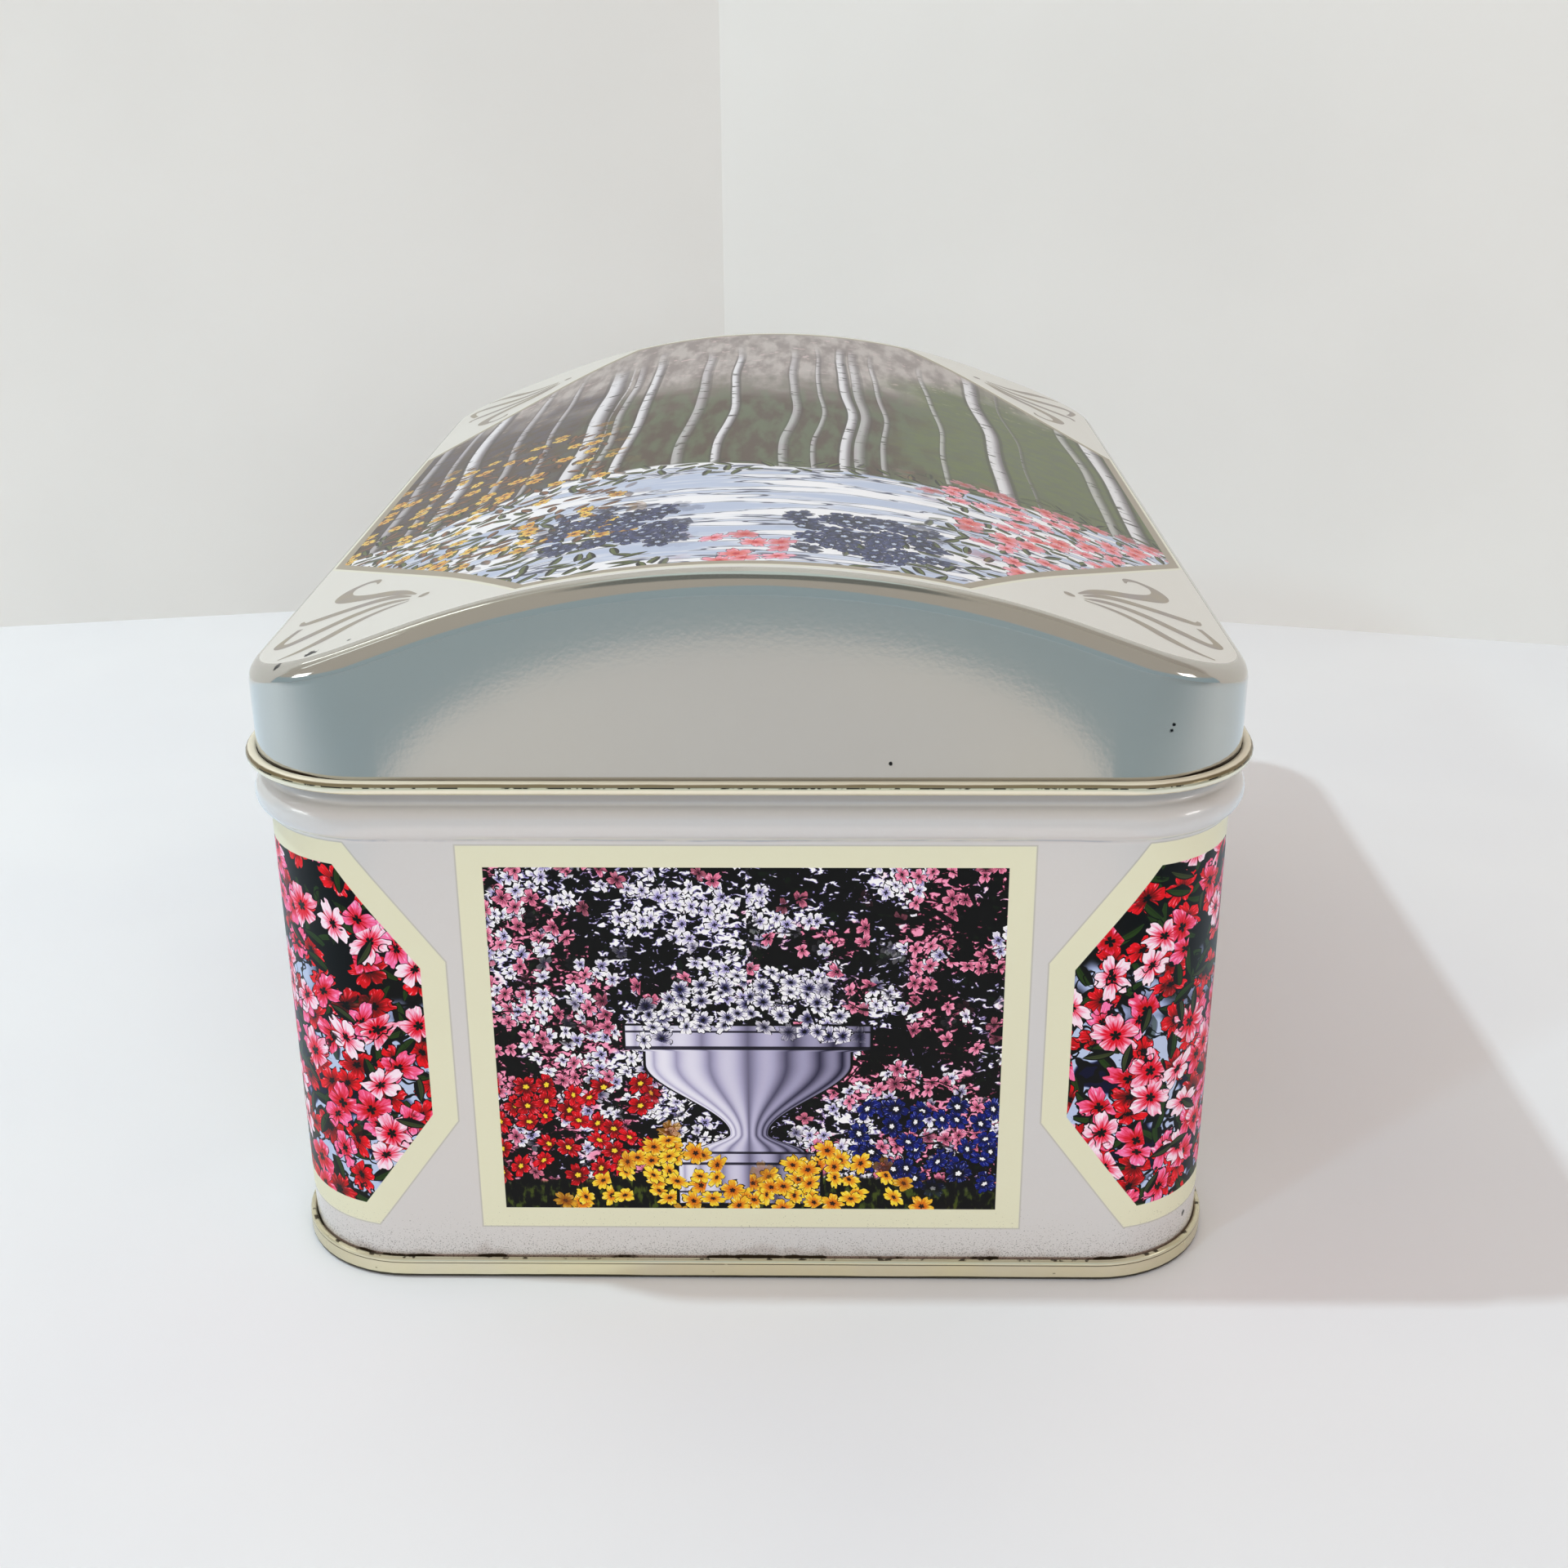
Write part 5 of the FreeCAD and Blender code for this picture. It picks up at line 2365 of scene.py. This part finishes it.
    def build(self, outside: Material, inside: Material) -> Object:
        """Makes the piece.

        Args:
            outside: Printed finish.
            inside: Lacquered finish, which the curl shows on its outside.

        Returns:
            The piece.
        """
        stations = self.stations()
        work = bmesh.new()
        rings = []
        outside_count = 0
        for place, out in stations:
            points, outside_count = self.section(place, out)
            spots = [(place.x + out.x * point.x, place.y + out.y * point.x, point.y) for point in points]
            rings.append([work.verts.new([part * MM for part in spot]) for spot in spots])
        for ring, following in zip(rings, rings[1:] + rings[:1]):
            for level in range(len(ring) - 1):
                face = work.faces.new((ring[level], following[level], following[level + 1], ring[level + 1]))
                face.material_index = 0 if level < outside_count - 1 else 1
        self.top(work, [ring[0] for ring in rings], 0.0, 0)
        self.top(work, [ring[-1] for ring in rings], self.tin.sheet, 1)
        mesh = bpy.data.meshes.new("lid_shell_look")
        work.to_mesh(mesh)
        work.free()
        mesh.materials.append(outside)
        mesh.materials.append(inside)
        return settle(add_object("lid_shell_look", mesh))

    def top(self, work: bmesh.types.BMesh, rim: list[bmesh.types.BMVert], inset: float, slot: int) -> None:
        """Fills the inside of the rounded edge with the arched top, ruled along the box.

        Args:
            work: Mesh under construction.
            rim: Vertices round the top of the rounding, in station order.
            inset: 0 for the outside, the gauge for the inside.
            slot: Material number.
        """
        columns = 2 * self.corner_steps + self.end_steps
        rows = self.side_steps
        grid: list[list[bmesh.types.BMVert]] = []
        for column in range(columns + 1):
            front = rim[column]
            back = rim[(2 * columns + rows - column) % len(rim)]
            line = [front]
            for row in range(1, rows):
                if column == 0:
                    line.append(rim[(len(rim) - row) % len(rim)])
                elif column == columns:
                    line.append(rim[columns + row])
                else:
                    spot = front.co.lerp(back.co, row / rows)
                    spot.z = self.crown_height(spot.x / MM, inset) * MM
                    line.append(work.verts.new(spot))
            grid.append(line + [back])
        for left, right in zip(grid, grid[1:]):
            for row in range(rows):
                face = work.faces.new((left[row], right[row], right[row + 1], left[row + 1]))
                face.material_index = slot


@dataclass
class LidFlourishes:
    """Traditional pen flourishes in the four cream corners of the lid's top."""

    lid: LidShell
    lift: float = 0.012
    step: float = 0.35
    heft: float = 1.3
    strokes: tuple[tuple[Triple, ...], ...] = (
        ((43.4, 50.0, 0.1), (43.7, 48.4, 0.3), (45.2, 47.5, 0.35), (46.9, 48.3, 0.55), (47.4, 50.4, 0.8),
         (46.5, 52.6, 0.8), (44.0, 55.0, 0.65), (41.0, 57.2, 0.6), (38.4, 59.8, 0.45), (36.2, 63.0, 0.1)),
        ((50.9, 56.3, 0.15), (50.5, 57.6, 0.35), (49.0, 58.0, 0.6), (45.5, 58.4, 0.6), (42.0, 59.1, 0.55),
         (39.2, 60.6, 0.4), (36.7, 63.3, 0.1)),
        ((50.3, 59.7, 0.3), (51.2, 62.3, 0.35), (51.5, 64.6, 0.45), (50.1, 65.5, 0.6), (47.2, 64.2, 0.65),
         (44.2, 62.7, 0.65), (41.5, 62.2, 0.55), (39.0, 62.8, 0.4), (36.7, 64.4, 0.1)),
        ((49.9, 71.0, 0.12), (47.6, 70.4, 0.4), (45.2, 68.8, 0.65), (43.2, 66.8, 0.6), (41.0, 65.4, 0.45),
         (38.8, 64.9, 0.3), (36.6, 65.1, 0.08)),
        ((35.6, 64.7, 0.2), (35.0, 64.7, 0.55), (34.4, 64.7, 0.25)))

    def build(self, ink: Material) -> Object:
        """Makes the flourishes.

        Args:
            ink: Their finish.

        Returns:
            One piece with the strokes of all four corners.
        """
        points = [point for stroke in self.strokes for point in stroke]
        edges = []
        first = 0
        for stroke in self.strokes:
            edges += [(first + i, first + i + 1) for i in range(len(stroke) - 1)]
            first += len(stroke)
        mesh = bpy.data.meshes.new("flourish_strokes")
        mesh.from_pydata([(across * MM, along * MM, 0.0) for across, along, _ in points], edges, [])
        weights = mesh.attributes.new("weight", "FLOAT", "POINT")
        for item, (_, _, weight) in zip(weights.data, points):
            item.value = weight * self.heft * MM
        tin = self.lid.tin
        thing = Flourish().run("lid_flourishes", mesh, {
            "Eave Height": tin.eave_height * MM, "Half Width": self.lid.half_width * MM,
            "Slope": math.tan(tin.shoulder), "Lift": self.lift * MM, "Step": self.step * MM, "Ink": ink})
        log.info("%s: %d faces", thing.name, len(thing.data.polygons))
        return thing


# Stage, light and camera

@dataclass
class Stage:
    """Pale floor, with two pale boards that meet in a corner behind the box."""

    corner: Point = (-15.0, 211.0)
    left_end: Point = (-800.0, 63.5)
    right_end: Point = (800.0, 12.2)
    reach: float = 1200.0
    height: float = 700.0

    def build(self) -> None:
        """Makes the floor and both boards."""
        floor = Floor("stage_floor", ink_colour(245, 246, 249), ink_colour(242, 243, 247)).make()
        board = Board("stage_board", ink_colour(237, 237, 234), ink_colour(234, 234, 231)).make()
        corners = ((-1, -1), (1, -1), (1, 1), (-1, 1))
        self.sheet("stage_floor", [(x * self.reach, y * self.reach, 0.0) for x, y in corners], floor)
        for name, left, right in (("stage_left", self.left_end, self.corner),
                                  ("stage_right", self.corner, self.right_end)):
            foot = [(*left, 0.0), (*right, 0.0)]
            head = [(*right, self.height), (*left, self.height)]
            self.sheet(name, foot + head, board)

    @staticmethod
    def sheet(name: str, corners: Iterable[Triple], material: Material) -> None:
        """Adds one flat sheet of the stage.

        Args:
            name: Its name.
            corners: Its four corners in millimetres.
            material: Its finish.
        """
        mesh = bpy.data.meshes.new(name)
        mesh.from_pydata([tuple(part * MM for part in corner) for corner in corners], [], [(0, 1, 2, 3)])
        mesh.materials.append(material)
        thing = add_object(name, mesh)


@dataclass(frozen=True)
class Lamp:
    """One soft rectangular lamp, aimed at the box."""

    name: str
    place: Triple
    size: Point
    power: float
    colour: Triple = (1.0, 1.0, 1.0)
    aim: Triple = (0.0, 0.0, 0.04)
    mirrored: bool = True
    lights: bool = True

    def build(self) -> None:
        """Adds the lamp."""
        data = bpy.data.lights.new(self.name, "AREA")
        data.shape = "RECTANGLE"
        data.size, data.size_y = self.size
        data.energy = self.power
        data.color = self.colour
        thing = add_object(self.name, data)
        thing.location = self.place
        thing.visible_glossy = self.mirrored
        thing.visible_diffuse = self.lights
        thing.rotation_euler = (Vector(self.aim) - Vector(self.place)).to_track_quat("-Z", "Y").to_euler()


@dataclass
class Studio:
    """World, lamps, camera and view settings."""

    ambient: Colour = (0.575, 0.482, 0.42, 1.0)
    room: Colour = (0.29, 0.44, 0.53, 1.0)
    room_high: Colour = (0.48, 0.45, 0.4, 1.0)
    room_top: Colour = (0.06, 0.08, 0.07, 1.0)
    room_back: Colour = (0.72, 0.9, 0.9, 1.0)
    pale: Colour = (0.72, 0.73, 0.71, 1.0)
    eye: Triple = (7.694, -263.498, 138.987)
    yaw: float = 1.059
    pitch: float = 22.199
    roll: float = -0.352
    lens: float = 43.742
    sensor: float = 36.0
    clip: Point = (0.01, 20.0)
    aside_most: float = 0.5
    high_tilt: float = 0.86
    high_from: Point = (0.58, 0.66)
    top_from: Point = (0.92, 0.96)
    back_tilt: float = 0.75
    back_from: Point = (0.02, 0.12)
    lamps: tuple[Lamp, ...] = (
        Lamp("key", place=(-0.467, -0.044, 0.83), size=(0.025, 0.025), power=2.65, colour=(0.76, 0.94, 1.0),
             mirrored=False),
        Lamp("fill", place=(-0.8, -0.8, 0.7), size=(0.08, 0.08), power=1.75, colour=(0.5, 0.82, 1.0),
             mirrored=False),
        Lamp("front", place=(0.3, -1.2, 0.4), size=(1.0, 0.5), power=3.7, colour=(0.88, 0.94, 1.0),
             mirrored=False),
        Lamp("window", place=(-0.7, -0.01, 0.66), size=(0.07, 0.36), power=0.1, colour=(0.85, 0.95, 1.0),
             lights=False),
        Lamp("pane", place=(-0.411, -0.195, 0.167), size=(0.12, 0.06), power=0.09, colour=(0.9, 0.97, 1.0),
             lights=False),
        Lamp("glint", place=(0.399, -0.219, 0.179), size=(0.1, 0.05), power=0.094, lights=False),
        Lamp("streak", place=(-0.286, 0.097, 0.359), size=(0.02, 0.2), power=0.045, colour=(0.9, 0.97, 1.0),
             lights=False))

    def build(self) -> None:
        """Sets the world, the lamps, the camera and the view."""
        scene = bpy.context.scene
        world = bpy.data.worlds.new("room")
        world.use_nodes = True
        sky = Canvas(world.node_tree)
        split = sky.node("ShaderNodeSeparateXYZ")
        sky.tree.links.new(sky.node("ShaderNodeTexCoord").outputs["Generated"], split.inputs[0])
        side, back, rise = (Ink(sky.tree, socket) for socket in split.outputs)
        aside = abs(side).least(self.aside_most)
        upper = (rise + aside * self.high_tilt).ramp(*self.high_from)
        sky.colour = sky.blend(self.room, self.room_high, upper)
        sky.lay(rise.ramp(*self.top_from), self.room_top)
        sky.lay((back - aside * self.back_tilt).ramp(*self.back_from), self.room_back)
        glow = sky.blend(self.ambient, sky.colour, sky.mirrored())
        glow = sky.blend(glow, self.pale, sky.seen())
        sky.tree.links.new(glow, world.node_tree.nodes["Background"].inputs["Color"])
        scene.world = world
        for lamp in self.lamps:
            lamp.build()
        data = bpy.data.cameras.new("camera")
        data.sensor_fit = "HORIZONTAL"
        data.sensor_width = self.sensor
        data.lens = self.lens
        data.clip_start, data.clip_end = self.clip
        camera = add_object("camera", data)
        turn = (Matrix.Rotation(math.radians(self.yaw), 4, "Z")
                @ Matrix.Rotation(math.radians(90 - self.pitch), 4, "X")
                @ Matrix.Rotation(math.radians(self.roll), 4, "Z"))
        camera.matrix_world = Matrix.Translation(Vector(self.eye) * MM) @ turn
        scene.camera = camera
        scene.view_settings.view_transform = "Standard"


def main() -> None:
    """Builds the looks on the CAD frame."""
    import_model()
    tin = Tin()
    sweep = SheetSweep()
    lacquer = GoldLacquer("gold_lacquer", bare=0.25, rough=0.2).make()
    seam = GoldLacquer("gold_tinplate", side_reflection=0.2, bands=SEAM_BANDS).make()
    curl = GoldLacquer("lid_lacquer", metal=0.55, side_reflection=0.6, bands=CURL_BANDS).make()

    body = BodyWall(tin).build(sweep, {zone: BodyPrint(zone).make() for zone in Zone}, lacquer)
    base = BasePlate(tin).build(sweep, seam, lacquer)
    lid_shell = LidShell(tin)
    lid = lid_shell.build(LidPrint().make(), curl)
    ink = Plain("flourish_ink", INKS.taupe, INKS.taupe_cool, size=4.0, rough=0.35).make()
    flourishes = LidFlourishes(lid_shell).build(ink)
    for piece, carrier, slot, node in (
            (body, "tin", "body_enamel", "body_wall"), (base, "tin", "gold_tinplate", "base_plate"),
            (lid, "lid", "lid_enamel", "lid_shell"), (flourishes, "lid", "lid_enamel", None)):
        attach(piece, carrier)
        if node:
            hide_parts(node)

    Stage().build()
    Studio().build()


if __name__ == "__main__":
    main()
